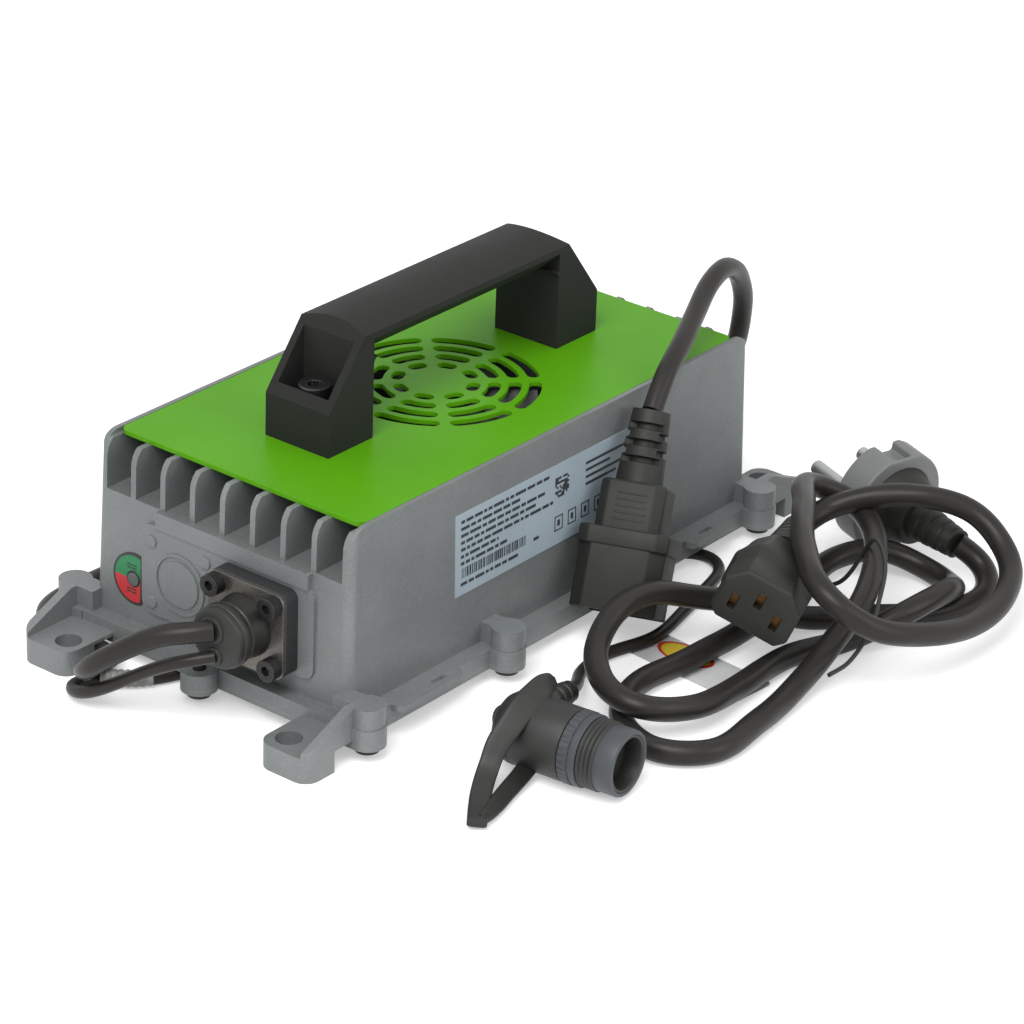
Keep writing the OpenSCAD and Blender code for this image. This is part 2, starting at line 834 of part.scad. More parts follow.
// Outline of a grille slot with round ends, from the angle a0 to the angle a1
function turn(c, r, a) = c + r * [cos(a), sin(a)];
function slot_outline(r0, r1, a0, a1) = let (mid = (r0 + r1) / 2, half = (r1 - r0) / 2)
    concat(
        [for (i = [0 : arc_steps]) turn([0, 0], r1, a0 + (a1 - a0) * i / arc_steps)],
        [for (i = [1 : cap_steps - 1])
            turn(turn([0, 0], mid, a1), half, a1 + half_turn * i / cap_steps)],
        [for (i = [0 : arc_steps]) turn([0, 0], r0, a1 + (a0 - a1) * i / arc_steps)],
        [for (i = [1 : cap_steps - 1])
            turn(turn([0, 0], mid, a0), half, a0 + half_turn + half_turn * i / cap_steps)]);

// One grille slot between two spokes
module slot_sector(r0, angle) {
    r1 = r0 + slot_w;
    trim = asin((spoke_w + slot_w) / (r0 + r1));
    polygon(slot_outline(r0, r1, trim, angle - trim));
}

module top_plate() {
    color("limegreen")
    translate([0, 0, plate_z])
        linear_extrude(plate_t)
            difference() {
                rrect(plate_l, plate_w, plate_r);
                for (j = [0 : ring_count - 1])
                    for (k = [0 : slot_count - 1])
                        rotate(k * 360 / slot_count)
                            slot_sector(grille_r + j * (slot_w + slot_web), 360 / slot_count);
                for (sx = [-1, 1])
                    translate([sx * handle_screw_x, 0])
                        circle(handle_screw_r + 2 * screw_gap);
            }
}

module handle() {
    crown_r = (pow(handle_w / 2, 2) + pow(crown_rise, 2)) / (2 * crown_rise);
    edge_z = handle_top_z - crown_rise;
    color("darkslategray")
    difference() {
        intersection() {
            translate([0, handle_w / 2, 0])
                rotate([90, 0, 0])
                    linear_extrude(handle_w)
                        polygon([[-leg_out_x, body_top_z], [leg_out_x, body_top_z],
                            [leg_out_x, edge_z - shoulder_drop + lip_h], [shoulder_x, edge_z],
                            [shoulder_x - crown_rise, handle_top_z],
                            [crown_rise - shoulder_x, handle_top_z], [-shoulder_x, edge_z],
                            [-leg_out_x, edge_z - shoulder_drop + lip_h]]);
            translate([-leg_out_x, 0, handle_top_z - crown_r])
                rotate([0, 90, 0])
                    cylinder(h = 2 * leg_out_x, r = crown_r, $fn = 96);
        }
        // the hand gap
        translate([0, handle_w, 0])
            rotate([90, 0, 0])
                linear_extrude(2 * handle_w) {
                    translate([0, body_top_z + (gap_h - over) / 2])
                        rrect(2 * leg_in_x, gap_h + over, gap_r);
                    translate([-leg_in_x, body_top_z - over])
                        square([2 * leg_in_x, gap_h / 2]);
                }
        // the sides of the grip slope in under the lips
        for (sy = [0, 1])
            mirror([0, sy, 0])
                translate([-leg_in_x, 0, 0])
                    rotate([90, 0, 90])
                        linear_extrude(2 * leg_in_x)
                            polygon([[handle_w / 2 + over, edge_z - lip_h],
                                [handle_w / 2, edge_z - lip_h], [grip_under_w / 2, gap_top_z - slice],
                                [handle_w / 2 + over, gap_top_z - slice]]);
        // pocket and hole of each screw
        for (sx = [0, 1])
            mirror([sx, 0, 0]) {
                translate([pocket_in_x, -pocket_w / 2, handle_top_z - pocket_drop])
                    cube([pocket_out_x - pocket_in_x, pocket_w, pocket_drop + over]);
                translate([handle_screw_x, 0, body_top_z - over])
                    cylinder(h = handle_h, r = handle_screw_r + 2 * screw_gap);
            }
    }
}

module handle_screws() {
    seat_z = handle_top_z - pocket_drop;
    color("gray")
    for (sx = [-1, 1])
        translate([sx * handle_screw_x, 0, seat_z]) {
            difference() {
                cylinder(h = handle_head_h, r = handle_head_r - 2 * screw_gap);
                translate([0, 0, handle_head_h / 2])
                    cylinder(h = handle_head_h, r = handle_head_r / 2, $fn = 6);
            }
            translate([0, 0, plate_z - handle_screw_in + over - seat_z])
                cylinder(h = seat_z - plate_z + handle_screw_in - over + slice,
                    r = handle_screw_r - screw_gap / 2);
        }
}

module fan_frame() {
    color("dimgray")
    translate([0, 0, fan_z])
        difference() {
            union() {
                difference() {
                    union() {
                        for (z = [0, fan_h - fan_flange_t])
                            translate([0, 0, z])
                                linear_extrude(fan_flange_t)
                                    rrect(fan_w, fan_w, fan_corner_r);
                        cylinder(h = fan_h, r = fan_w / 2 - fan_run / 2);
                    }
                    translate([0, 0, -over])
                        cylinder(h = fan_h + 2 * over, r = throat_r);
                }
                // cup, bearing tube and struts under the rotor
                cylinder(h = cup_t, r = hub_r);
                cylinder(h = fan_h / 2, r = bush_r);
                for (k = [0 : strut_count - 1])
                    rotate(45 + k * 360 / strut_count)
                        translate([0, -strut_w / 2, 0])
                            cube([throat_r + fan_run / 4, strut_w, cup_t]);
            }
            translate([0, 0, cup_t / 2])
                cylinder(h = fan_h, r = shaft_r + shaft_gap);
            for (sx = [-1, 1])
                for (sy = [-1, 1]) {
                    translate([sx * fan_hole, sy * fan_hole, -over])
                        cylinder(h = fan_flange_t + 2 * over, r = fan_hole_r);
                    // the upper flange is open above each screw
                    translate([sx * fan_hole, sy * fan_hole, fan_flange_t])
                        cylinder(h = fan_h, r = fan_head_r + 2 * seat_gap);
                }
        }
}

module fan_screws() {
    color("silver")
    for (sx = [-1, 1])
        for (sy = [-1, 1])
            translate([sx * fan_hole, sy * fan_hole, fan_z]) {
                translate([0, 0, fan_flange_t])
                    difference() {
                        cylinder(h = fan_head_h, r = fan_head_r);
                        translate([0, 0, fan_head_h / 2])
                            cylinder(h = fan_head_h, r = fan_head_r / 2, $fn = 6);
                    }
                translate([0, 0, -fan_screw_in + seat_gap])
                    cylinder(h = fan_flange_t + fan_screw_in - seat_gap + slice,
                        r = fan_screw_r - screw_gap / 2);
            }
}

module fan_rotor() {
    color("darkslategray")
    translate([0, 0, fan_z + cup_t + rotor_lift / 2]) {
        difference() {
            cylinder(h = rotor_h, r = hub_r);
            translate([0, 0, -over])
                cylinder(h = rotor_h - hub_t + over, r = hub_r - hub_t);
        }
        cylinder(h = rotor_h - hub_t / 2, r = shaft_r);
        for (k = [0 : blade_count - 1])
            rotate(k * 360 / blade_count)
                intersection() {
                    translate([(blade_r + hub_r) / 2 - blade_in / 2, 0, rotor_h / 2])
                        rotate([90 - blade_tilt, 0, 0])
                            cube([blade_r - hub_r + blade_in, blade_deep, blade_t], center = true);
                    difference() {
                        cylinder(h = rotor_h, r = blade_r);
                        translate([0, 0, -over])
                            cylinder(h = rotor_h + 2 * over, r = hub_r - hub_t / 2);
                    }
                }
    }
}

module gland_block() {
    color("black")
    difference() {
        end_plate(-block_x, -panel_x, gland_y - gland_w / 2, gland_y + gland_w / 2,
            gland_z - gland_h / 2, gland_z + gland_h / 2, gland_corner_r);
        bar_x(-block_x - over, -panel_x + over, gland_y, gland_z, gland_bore_r);
        gland_screw_holes(-block_x - over, -panel_x + over);
    }
}

module gland_screw_holes(x0, x1) {
    for (sy = [-1, 1])
        for (sz = [-1, 1])
            bar_x(x0, x1, gland_y + sy * gland_screw_y, gland_z + sz * gland_screw_z,
                gland_shank_r + 2 * screw_gap);
}

module gland_plate() {
    color("lightgray")
    difference() {
        end_plate(-clamp_x, -block_x, gland_y - gland_w / 2, gland_y + gland_w / 2,
            gland_z - gland_h / 2, gland_z + gland_h / 2, gland_corner_r);
        bar_x(-clamp_x - over, -block_x + over, gland_y, gland_z, gland_bore_r);
        gland_screw_holes(-clamp_x - over, -block_x + over);
    }
}

module gland_boot() {
    neck_x = clamp_x + boot_l;
    disc_x = neck_x + boot_neck_l;
    color("black") {
        bar_x(-neck_x, -clamp_x, gland_y, gland_z, boot_r);
        bar_x(-disc_x, -neck_x + slice, gland_y, gland_z, boot_neck_r);
        bar_x(-boot_front_x, -disc_x + slice, gland_y, gland_z, boot_disc_r);
        bar_x(-clamp_x - slice, -panel_x, gland_y, gland_z, gland_bore_r - screw_gap);
    }
}

module gland_screws() {
    color("dimgray")
    for (sy = [-1, 1])
        for (sz = [-1, 1])
            translate([0, gland_y + sy * gland_screw_y, gland_z + sz * gland_screw_z]) {
                difference() {
                    bar_x(-clamp_x - gland_head_h, -clamp_x, 0, 0, gland_head_r);
                    bar_x(-clamp_x - gland_head_h - over, -clamp_x - gland_head_h + hex_deep,
                        0, 0, hex_r, 6);
                }
                bar_x(-clamp_x - slice, -panel_x + gland_screw_in - seat_gap, 0, 0,
                    gland_shank_r - screw_gap / 2);
            }
}

// Puts its children on the leaning end wall at a height, facing -X
module on_end_wall(y, z) {
    translate([-half_l(z) - slice, y, z])
        rotate([0, wall_lean - 90, 0])
            children();
}

module indicator_label() {
    color("gray")
    on_end_wall(label_y, label_z)
        difference() {
            cylinder(h = label_t, r = label_r);
            translate([-2 * label_r, -2 * label_r + label_cut_y - label_y, -over])
                cube([4 * label_r, 2 * label_r, label_t + 2 * over]);
            translate([0, 0, -over])
                cylinder(h = label_t + 2 * over, r = lens_r + 2 * screw_gap);
        }
}

module indicator_lens() {
    color("white")
    bar_x(-half_l(label_z) - lens_out, -half_l(label_z) - lens_out + lens_len, label_y, label_z,
        lens_r);
}

module led_board() {
    x0 = -half_l(label_z) - lens_out + lens_len;
    color("green")
    translate([x0, label_y - led_w / 2, label_z - led_h / 2])
        cube([led_t, led_w, led_h]);
}

module rating_label() {
    color("lightsteelblue")
    translate([0, -half_w(rating_z0) - slice, rating_z0])
        rotate([-wall_lean, 0, 0])
            translate([rating_x0, -rating_t, 0])
                cube([rating_x1 - rating_x0, rating_t, rating_z1 - rating_z0]);
}

module main_board() {
    color("darkgreen")
    translate([0, 0, board_z])
        linear_extrude(board_t)
            difference() {
                rrect(board_l, board_w, board_r);
                for (sx = [-1, 1])
                    for (sy = [-1, 1])
                        translate([sx * post_x, sy * post_y])
                            circle(board_hole_r);
            }
}

module board_screws() {
    color("silver")
    for (sx = [-1, 1])
        for (sy = [-1, 1])
            translate([sx * post_x, sy * post_y, board_z]) {
                translate([0, 0, -board_head_h])
                    cylinder(h = board_head_h, r = board_head_r);
                translate([0, 0, -slice])
                    cylinder(h = board_t + post_bore - seat_gap, r = post_bore_r - screw_gap / 2);
            }
}

module transformer() {
    color("saddlebrown")
    translate([coil_x, coil_y, part_z]) {
        difference() {
            translate([-core_l / 2, -core_w / 2, 0])
                cube([core_l, core_w, core_h]);
            translate([-core_l / 2 + core_t, -core_w, core_t / 2])
                cube([core_l - 2 * core_t, 2 * core_w, core_h - core_t]);
        }
        translate([0, 0, core_t / 2 - slice])
            cylinder(h = core_h - core_t + 2 * slice, r = winding_r);
    }
}

module pfc_choke() {
    color("goldenrod")
    translate([choke_x, choke_y, part_z])
        difference() {
            cylinder(h = choke_h, r = choke_r);
            translate([0, 0, -over])
                cylinder(h = choke_h + 2 * over, r = choke_hole_r);
        }
}

module output_choke() {
    color("chocolate")
    translate([out_x, out_y, part_z + out_h / 2])
        cube([out_l, out_w, out_h], center = true);
}

module bulk_capacitors() {
    color("steelblue")
    for (p = cap_places)
        translate([p[0], p[1], part_z]) {
            cylinder(h = cap_h, r = cap_r);
            cylinder(h = 3 * cap_bead, r = cap_r + cap_bead / 2);
        }
}

// Places its children on the rail of each side wall, its own +Y into the housing
module on_rails() {
    for (sy = [0, 1])
        mirror([0, sy, 0])
            translate([0, rail_y, 0])
                children();
}

module thermal_pads() {
    color("lightgray")
    on_rails()
        translate([-rail_l / 2, -pad_t, pad_z])
            cube([rail_l, pad_t, pad_h]);
}

module power_transistors() {
    color("black")
    on_rails()
        for (k = [0 : device_count - 1])
            translate([(k - (device_count - 1) / 2) * device_pitch, -pad_t - device_t, 0]) {
                translate([-device_w / 2, 0, pad_z])
                    cube([device_w, device_t, device_h]);
                for (j = [-1, 0, 1])
                    translate([j * lead_pitch - lead_w / 2, device_t / 2, part_z])
                        cube([lead_w, lead_t, pad_z - part_z + slice]);
            }
}

module clamp_bars() {
    color("silver")
    on_rails()
        translate([-rail_l / 2, -pad_t - device_t - bar_t, bar_z])
            cube([rail_l, bar_t, bar_h]);
}

module ac_cord() {
    color("black")
    cord(ac_points, ac_d, 10);
}

// Outline of an appliance coupler with two cut corners
module coupler(w, d, ch) {
    polygon([[-w / 2, d / 2], [w / 2, d / 2], [w / 2, -d / 2 + ch], [w / 2 - ch, -d / 2],
        [-w / 2 + ch, -d / 2], [-w / 2, -d / 2 + ch]]);
}

// Places its children at the three poles of a coupler
module poles() {
    for (sx = [-1, 1])
        translate([sx * pin_half, pin_rise])
            children();
    translate([0, -pin_rise])
        children();
}

module ac_plug() {
    total = norm(ac_plug_tip - ac_plug_at);
    grip_z = shroud_l + collar_l;
    relief_z = grip_z + grip_l;
    color("dimgray")
    along(ac_plug_at, ac_plug_tip, ac_plug_roll) {
        difference() {
            linear_extrude(shroud_l)
                coupler(shroud_w, shroud_d, shroud_ch);
            translate([0, 0, -over])
                linear_extrude(shroud_deep + over)
                    coupler(shroud_w - 2 * shroud_t, shroud_d - 2 * shroud_t, shroud_ch);
        }
        translate([0, 0, shroud_l - slice])
            linear_extrude(collar_l + slice)
                rrect(shroud_w + collar_out, shroud_d, shroud_r);
        translate([0, 0, grip_z - slice])
            linear_extrude(grip_l + slice)
                rrect(grip_w, grip_d, 2 * shroud_r);
        translate([0, 0, relief_z - slice])
            difference() {
                cylinder(h = total - relief_z + slice, r1 = relief_r0, r2 = relief_r1);
                for (k = [1 : relief_count])
                    for (sx = [-1, 1])
                        translate([sx * (relief_r0 + ac_d) / 2, 0,
                            k * (total - relief_z) / (relief_count + 1)])
                            cube([relief_r0 - ac_d / 3, 3 * relief_r0, relief_groove],
                                center = true);
            }
    }
}

module ac_plug_pins() {
    color("silver")
    along(ac_plug_at, ac_plug_tip, ac_plug_roll)
        translate([0, 0, shroud_deep - blade_pin_l])
            linear_extrude(blade_pin_l)
                poles()
                    square([blade_pin_t, blade_pin_w], center = true);
}

module dc_cord() {
    color("black")
    cord(dc_points, dc_d, 8);
}

// Puts a piece on the battery connector's axis, its own Z towards the mouth
module on_connector() {
    translate(dc_at)
        rotate([90, 0, dc_turn])
            children();
}

module connector_boot() {
    color("black") {
        on_connector()
            translate([0, 0, -boot_back])
                cylinder(h = boot_back + boot_front, r = elbow_r);
        along([dc_at[0], arm_end_y, arm_end_z + arm_rise],
            [arm_end_x, arm_end_y, arm_end_z])
            cylinder(h = norm([arm_end_x - dc_at[0], arm_rise]),
                r1 = arm_r0, r2 = arm_r1);
        cord(loop_points, loop_d, 8);
    }
}

module connector_barrel() {
    color("darkslategray")
    on_connector()
        translate([0, 0, boot_front])
            cylinder(h = ring_z0 - boot_front, r = barrel_r);
}

module connector_rings() {
    color("slategray")
    on_connector()
        difference() {
            union() {
                translate([0, 0, ring_z0])
                    cylinder(h = ring_l, r = barrel_r);
                translate([0, 0, ring_z0 + ring_l - slice])
                    cylinder(h = thread_l + slice, r = thread_r);
                translate([0, 0, ring_z0 + ring_l + thread_l - slice])
                    cylinder(h = front_l + slice, r = front_r);
            }
            translate([0, 0, ring_z0])
                cylinder(h = ring_l + thread_l + front_l + over, r = insert_r);
        }
}

module connector_insert() {
    color("dimgray")
    on_connector()
        translate([0, 0, ring_z0])
            difference() {
                cylinder(h = ring_l + thread_l + front_l - insert_deep, r = insert_r);
                for (s = [-1, 1])
                    translate([s * contact_half, 0, ring_l + thread_l + front_l - insert_deep
                        - contact_l])
                        cylinder(h = contact_l + over, r = contact_r);
            }
}

module connector_contacts() {
    color("gold")
    on_connector()
        for (s = [-1, 1])
            translate([s * contact_half, 0, ring_z0 + ring_l + thread_l + front_l - insert_deep
                - contact_l])
                cylinder(h = contact_l - over, r = contact_r);
}

module cord_flag() {
    color("white")
    translate([flag_at[0], flag_at[1], 0])
        rotate(flag_turn)
            linear_extrude(flag_t)
                rrect(flag_w, flag_l, flag_r);
}

module mains_cord() {
    color("black")
    cord(lead_points, lead_d, 8);
}

module lead_socket() {
    total = norm(lead_socket_tip - lead_socket_at);
    color("dimgray")
    along(lead_socket_at, lead_socket_tip, lead_socket_roll) {
        difference() {
            linear_extrude(socket_l)
                coupler(socket_w, socket_d, socket_ch);
            translate([0, 0, -over])
                linear_extrude(socket_slot_deep + over)
                    poles()
                        square([socket_slot_w, socket_slot_h], center = true);
        }
        translate([0, 0, socket_l - slice])
            cylinder(h = neck_l + slice, r1 = neck_r0, r2 = neck_r1);
        translate([0, 0, socket_l + neck_l - slice])
            cylinder(h = total - socket_l - neck_l + slice, r1 = neck_r1, r2 = neck_r2);
    }
}

module lead_contacts() {
    color("gold")
    along(lead_socket_at, lead_socket_tip, lead_socket_roll)
        translate([0, 0, socket_slot_deep / 4])
            linear_extrude(socket_slot_deep * 3 / 4)
                poles()
                    square([socket_slot_w, socket_slot_h], center = true);
}

module plug_face() {
    color("lightgray")
    along(wall_plug_at, wall_plug_face)
        translate([0, 0, norm(wall_plug_face - wall_plug_at) - face_t])
            difference() {
                intersection() {
                    cylinder(h = face_t, r = face_r);
                    translate([-face_flat, -face_r, 0])
                        cube([2 * face_flat, 2 * face_r, face_t]);
                }
                for (s = [-1, 1])
                    translate([s * face_flat, 0, face_t])
                        cube([2 * clip_deep, clip_w, 2 * face_t - clip_deep], center = true);
            }
}

module plug_body() {
    lead = norm(wall_plug_face - wall_plug_at) - face_t;
    color("darkslategray") {
        along(wall_plug_at, wall_plug_face)
            cylinder(h = lead, r1 = rear_r1, r2 = rear_r0);
        along(wall_plug_tip, wall_plug_at)
            cylinder(h = norm(wall_plug_at - wall_plug_tip) + slice, r1 = tail_r1, r2 = tail_r0);
    }
}

module plug_pins() {
    color("silver")
    along(wall_plug_at, wall_plug_face)
        for (s = [-1, 1])
            translate([0, s * wall_pin_half, norm(wall_plug_face - wall_plug_at)])
                cylinder(h = wall_pin_l, r = wall_pin_r);
}

module twist_tie() {
    color("black")
    cord(tie_points, tie_d, 6);
}

housing();
bottom_cover();
cover_seal();
cover_screws();
top_plate();
handle();
handle_screws();
fan_frame();
fan_rotor();
fan_screws();
gland_block();
gland_plate();
gland_boot();
gland_screws();
indicator_label();
indicator_lens();
rating_label();
main_board();
board_screws();
transformer();
pfc_choke();
output_choke();
bulk_capacitors();
thermal_pads();
power_transistors();
clamp_bars();
led_board();
ac_cord();
ac_plug();
ac_plug_pins();
dc_cord();
connector_boot();
connector_barrel();
connector_rings();
connector_insert();
connector_contacts();
cord_flag();
mains_cord();
lead_socket();
lead_contacts();
plug_face();
plug_body();
plug_pins();
twist_tie();
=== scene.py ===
"""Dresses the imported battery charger: its casting, handle, plugs, connector and cords.

Lengths of the pieces are in millimetres in the part's own frame, and each mesh is
scaled to metres once, when it is made.
"""

import math

import bmesh
import bpy
import numpy as np
from mathutils import Matrix
from mathutils.geometry import tessellate_polygon
from bpy.props import FloatProperty, FloatVectorProperty, PointerProperty


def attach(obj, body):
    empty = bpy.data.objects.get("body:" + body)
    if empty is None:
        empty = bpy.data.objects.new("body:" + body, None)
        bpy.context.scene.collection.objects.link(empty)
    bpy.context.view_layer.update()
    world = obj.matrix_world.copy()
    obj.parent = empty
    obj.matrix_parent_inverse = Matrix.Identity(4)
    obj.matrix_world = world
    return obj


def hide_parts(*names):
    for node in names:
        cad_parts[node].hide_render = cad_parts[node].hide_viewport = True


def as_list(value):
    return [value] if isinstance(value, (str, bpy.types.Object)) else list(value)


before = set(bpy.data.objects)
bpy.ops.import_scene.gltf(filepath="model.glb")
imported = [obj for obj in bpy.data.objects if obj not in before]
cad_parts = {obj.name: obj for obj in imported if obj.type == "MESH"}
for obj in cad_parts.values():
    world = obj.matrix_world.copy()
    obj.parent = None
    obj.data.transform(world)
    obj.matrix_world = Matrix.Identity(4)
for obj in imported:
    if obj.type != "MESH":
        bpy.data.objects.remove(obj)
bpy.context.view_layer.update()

bl_info = {
    "name": "Battery charger",
    "version": (1, 0, 0),
    "blender": (4, 5, 0),
    "location": "3D View > Sidebar > Charger",
    "description": "Makes the casing, the handle, the plugs and the cords of a battery charger",
    "category": "Add Mesh",
}

MM = 0.001
BODY = "charger"


# ---------------------------------------------------------------- sizes and colours

def paint(code):
    """The linear colour of a hex code: each channel c becomes ((c + 0.055) / 1.055) ** 2.4."""
    c = np.array([int(code[i:i + 2], 16) for i in (0, 2, 4)]) / 255
    return tuple(float(x) for x in np.where(c > 0.04045, ((c + 0.055) / 1.055) ** 2.4, c / 12.92))


def colour(name, code, description):
    return FloatVectorProperty(name=name, description=description, subtype="COLOR", size=3,
                               min=0.0, max=1.0, default=paint(code))


def length(name, millimetres, description):
    return FloatProperty(name=name, description=description, unit="LENGTH",
                         default=millimetres * MM, min=0.0, precision=5)


class ChargerColours(bpy.types.PropertyGroup):
    """Colours of the charger's finishes."""
    casting: colour("Casting", "7f8383", "Silver-grey coat of the cast housing")
    casting_shade: colour("Casting shade", "727676", "Darker patches of the cast coat")
    # The lighter edge colour below gives the casting's grain flecks and a painted highlight on its
    # bevelled edges.
    casting_grain_and_highlight: colour("Casting grain and highlight", "bcc0c0", "Light grain flecks and the painted highlight on the casting's edges")
    plate: colour("Top plate", "5aa410", "Green paint of the top plate")
    plate_shade: colour("Top plate shade", "559c0e", "Darker patches of the green paint")
    handle: colour("Handle", "2a2b29", "Grained plastic of the handle")
    rubber: colour("Rubber", "1f1f1d", "Rubber of the gland boot and the pull loop")
    jacket: colour("Cord jacket", "2b2927", "Jacket of the cords")
    moulding: colour("Plug moulding", "23231f", "Soft moulding of the plugs")
    barrel: colour("Connector barrel", "242623", "Barrel of the battery connector")
    ring: colour("Connector ring", "42464a", "Grip ring of the battery connector")
    front: colour("Connector front", "464a4e", "Front ring of the battery connector")
    film: colour("Rating film", "a9b8c2", "Film of the rating plate")
    print: colour("Film print", "33393d", "Plain bars and blocks on the rating film")
    green_half: colour("Ready half", "12804a", "Upper half of the indicator disc")
    red_half: colour("Charging half", "c72f36", "Lower half of the indicator disc")
    tag: colour("Tag", "e2e4e3", "White film of the cord's tag")
    tag_oval: colour("Tag oval", "e3c62a", "Plain oval on the tag")
    tag_rim: colour("Tag rim", "c43a2a", "Rim of the tag's oval")


class ChargerSizes(bpy.types.PropertyGroup):
    """Sizes of the cords and of the softened edges."""
    pigtail: length("Mains pigtail", 6.6, "Diameter of the mains pigtail")
    battery: length("Battery lead", 4.0, "Diameter of the battery lead")
    lead: length("Mains lead", 7.5, "Diameter of the separate mains lead")
    tie: length("Twist tie", 1.4, "Diameter of the twist tie")
    cast_edge: length("Casting edge", 0.55, "Radius of the casting's edges")
    plate_edge: length("Plate edge", 0.3, "Radius of the top plate's edges")
    handle_edge: length("Handle edge", 1.1, "Radius of the handle's edges")
    fluting: FloatProperty(name="Fluting", default=0.035, min=0.0, max=0.2,
                           description="Depth of a cord's flutes as a share of its radius")


class ChargerStage(bpy.types.PropertyGroup):
    """The photograph's camera and the studio light."""
    lens: FloatProperty(name="Lens", description="Focal length of the camera in millimetres",
                        default=140.98, min=20.0)
    azimuth: FloatProperty(name="Azimuth", description="Camera's turn about the vertical",
                           subtype="ANGLE", default=math.radians(-52.281))
    elevation: FloatProperty(name="Elevation", description="Camera's angle above the floor",
                             subtype="ANGLE", default=math.radians(26.261))
    roll: FloatProperty(name="Roll", description="Camera's turn about its own axis",
                        subtype="ANGLE", default=math.radians(2.197))
    place: FloatVectorProperty(name="Camera place", description="Where the camera stands",
                               subtype="TRANSLATION", default=(-0.866737, -0.701761, 0.574475))
    sky: FloatProperty(name="Sky", description="Strength of the even light from all round",
                       default=0.44, min=0.0)
    key: FloatProperty(name="Key lamp", description="Power of the large lamp", unit="POWER",
                       default=17.0, min=0.0)
    fill: FloatProperty(name="Fill lamp", description="Power of the filling lamp", unit="POWER",
                        default=6.0, min=0.0)
    floor_glow: FloatProperty(name="Floor glow", default=0.38, min=0.0, max=1.0,
                              description="White that the camera sees added to the floor")


# ---------------------------------------------------------------- shapes

def unit(v):
    v = np.asarray(v, float)
    return v / np.linalg.norm(v, axis=-1, keepdims=True)


def turned(angle, axis):
    """The matrix of a turn in degrees about X, Y or Z, given as 0, 1 or 2."""
    c, s = math.cos(math.radians(angle)), math.sin(math.radians(angle))
    m = np.eye(3)
    a, b = [(1, 2), (2, 0), (0, 1)][axis]
    m[a, a], m[a, b], m[b, a], m[b, b] = c, -s, s, c
    return m


def stand(start, end, roll=0.0):
    """The place of a piece on the line from start to end: its own Z runs along the line, and
    its axes are Z turned to the line's direction after a roll about Z."""
    start, end = np.array(start, float), np.array(end, float)
    d = unit(end - start)
    lean, swing = math.degrees(math.acos(d[2])), math.degrees(math.atan2(d[1], d[0]))
    return start, turned(swing, 2) @ turned(lean, 1) @ turned(roll, 2)


def put(points, place):
    """Points of a piece's own axes, at its place: origin + points · axes."""
    return place[0] + np.asarray(points, float) @ place[1].T


def skin(grid, around=True, capped=(True, True)):
    """Quads between neighbouring rows and columns of a grid of points, closed round each row
    and with one face over the first and one over the last row."""
    rows, cols = grid.shape[:2]
    i, j = np.meshgrid(np.arange(rows - 1), np.arange(cols if around else cols - 1), indexing="ij")
    k = (j + 1) % cols
    quads = np.stack([i * cols + j, i * cols + k, (i + 1) * cols + k, (i + 1) * cols + j], -1)
    faces = quads.reshape(-1, 4).tolist()
    faces += [list(range(cols))[::-1]] if capped[0] else []
    faces += [list(range((rows - 1) * cols, rows * cols))] if capped[1] else []
    return grid.reshape(-1, 3), faces


def turned_shell(profile, place, sides=96, ripple=None):
    """A profile of radius and height turned about the piece's Z: a point is
    (r cos t, r sin t, z), where ripple(t, z) may scale r."""
    profile = np.asarray(profile, float)
    t = np.linspace(0, 2 * np.pi, sides, endpoint=False)[None, :]
    r, z = profile[:, :1], profile[:, 1:2]
    r = r * (1 if ripple is None else ripple(t, z))
    grid = np.stack([r * np.cos(t), r * np.sin(t), z + 0 * t], -1)
    return skin(put(grid, place))


def rounded(corners, radii, steps=6):
    """The outline round corners, each cut off by its radius: on the way from the corner's one
    side to its other, a point is (1-t)²·A + 2t(1-t)·corner + t²·B."""
    c = np.asarray(corners, float)
    before, after = unit(np.roll(c, 1, 0) - c), unit(np.roll(c, -1, 0) - c)
    half = np.arccos(np.clip((before * after).sum(1), -1, 1)) / 2
    cut = (np.asarray(radii, float) / np.tan(half))[:, None]
    a, b = c + before * cut, c + after * cut
    t = np.linspace(0, 1, steps + 1)[None, :, None]
    bent = (1 - t) ** 2 * a[:, None] + 2 * t * (1 - t) * c[:, None] + t ** 2 * b[:, None]
    return bent.reshape(-1, 2)


def slab(w, d, r=1.0):
    """Outline of a w by d rectangle with corners of radius r, shrunk by an inset."""
    def outline(inset=0.0):
        x, y = w / 2 - inset, d / 2 - inset
        return rounded([[x, -y], [x, y], [-x, y], [-x, -y]], [max(r - inset, 0.05)] * 4)
    return outline


def coupler(w, d, ch, r=1.0):
    """Outline of a coupler, a rectangle with its two lower corners cut, shrunk by an inset."""
    def outline(inset=0.0):
        x, y, c = w / 2 - inset, d / 2 - inset, ch - 0.586 * inset
        corners = [[x, -y + c], [x, y], [-x, y], [-x, -y + c], [-x + c, -y], [x - c, -y]]
        return rounded(corners, [max(r - inset, 0.05)] * 6)
    return outline


def eight_sided(w, d, low, high, r=1.0):
    """Outline of a rectangle with its upper corners cut by low and its lower ones by high,
    shrunk by an inset."""
    def outline(inset=0.0):
        x, y, a, b = w / 2 - inset, d / 2 - inset, low - 0.586 * inset, high - 0.586 * inset
        corners = [[x, b - y], [x, y - a], [x - a, y], [a - x, y], [-x, y - a], [-x, b - y],
                   [b - x, -y], [x - b, -y]]
        return rounded(corners, [max(r - inset, 0.05)] * 8)
    return outline


def lofted(outline, stations, place):
    """A shell through one outline at stations of height and inset, closed at both ends."""
    grid = np.stack([np.column_stack([outline(s[1]), np.full(len(outline(s[1])), s[0])])
                     for s in stations])
    return skin(put(grid, place))


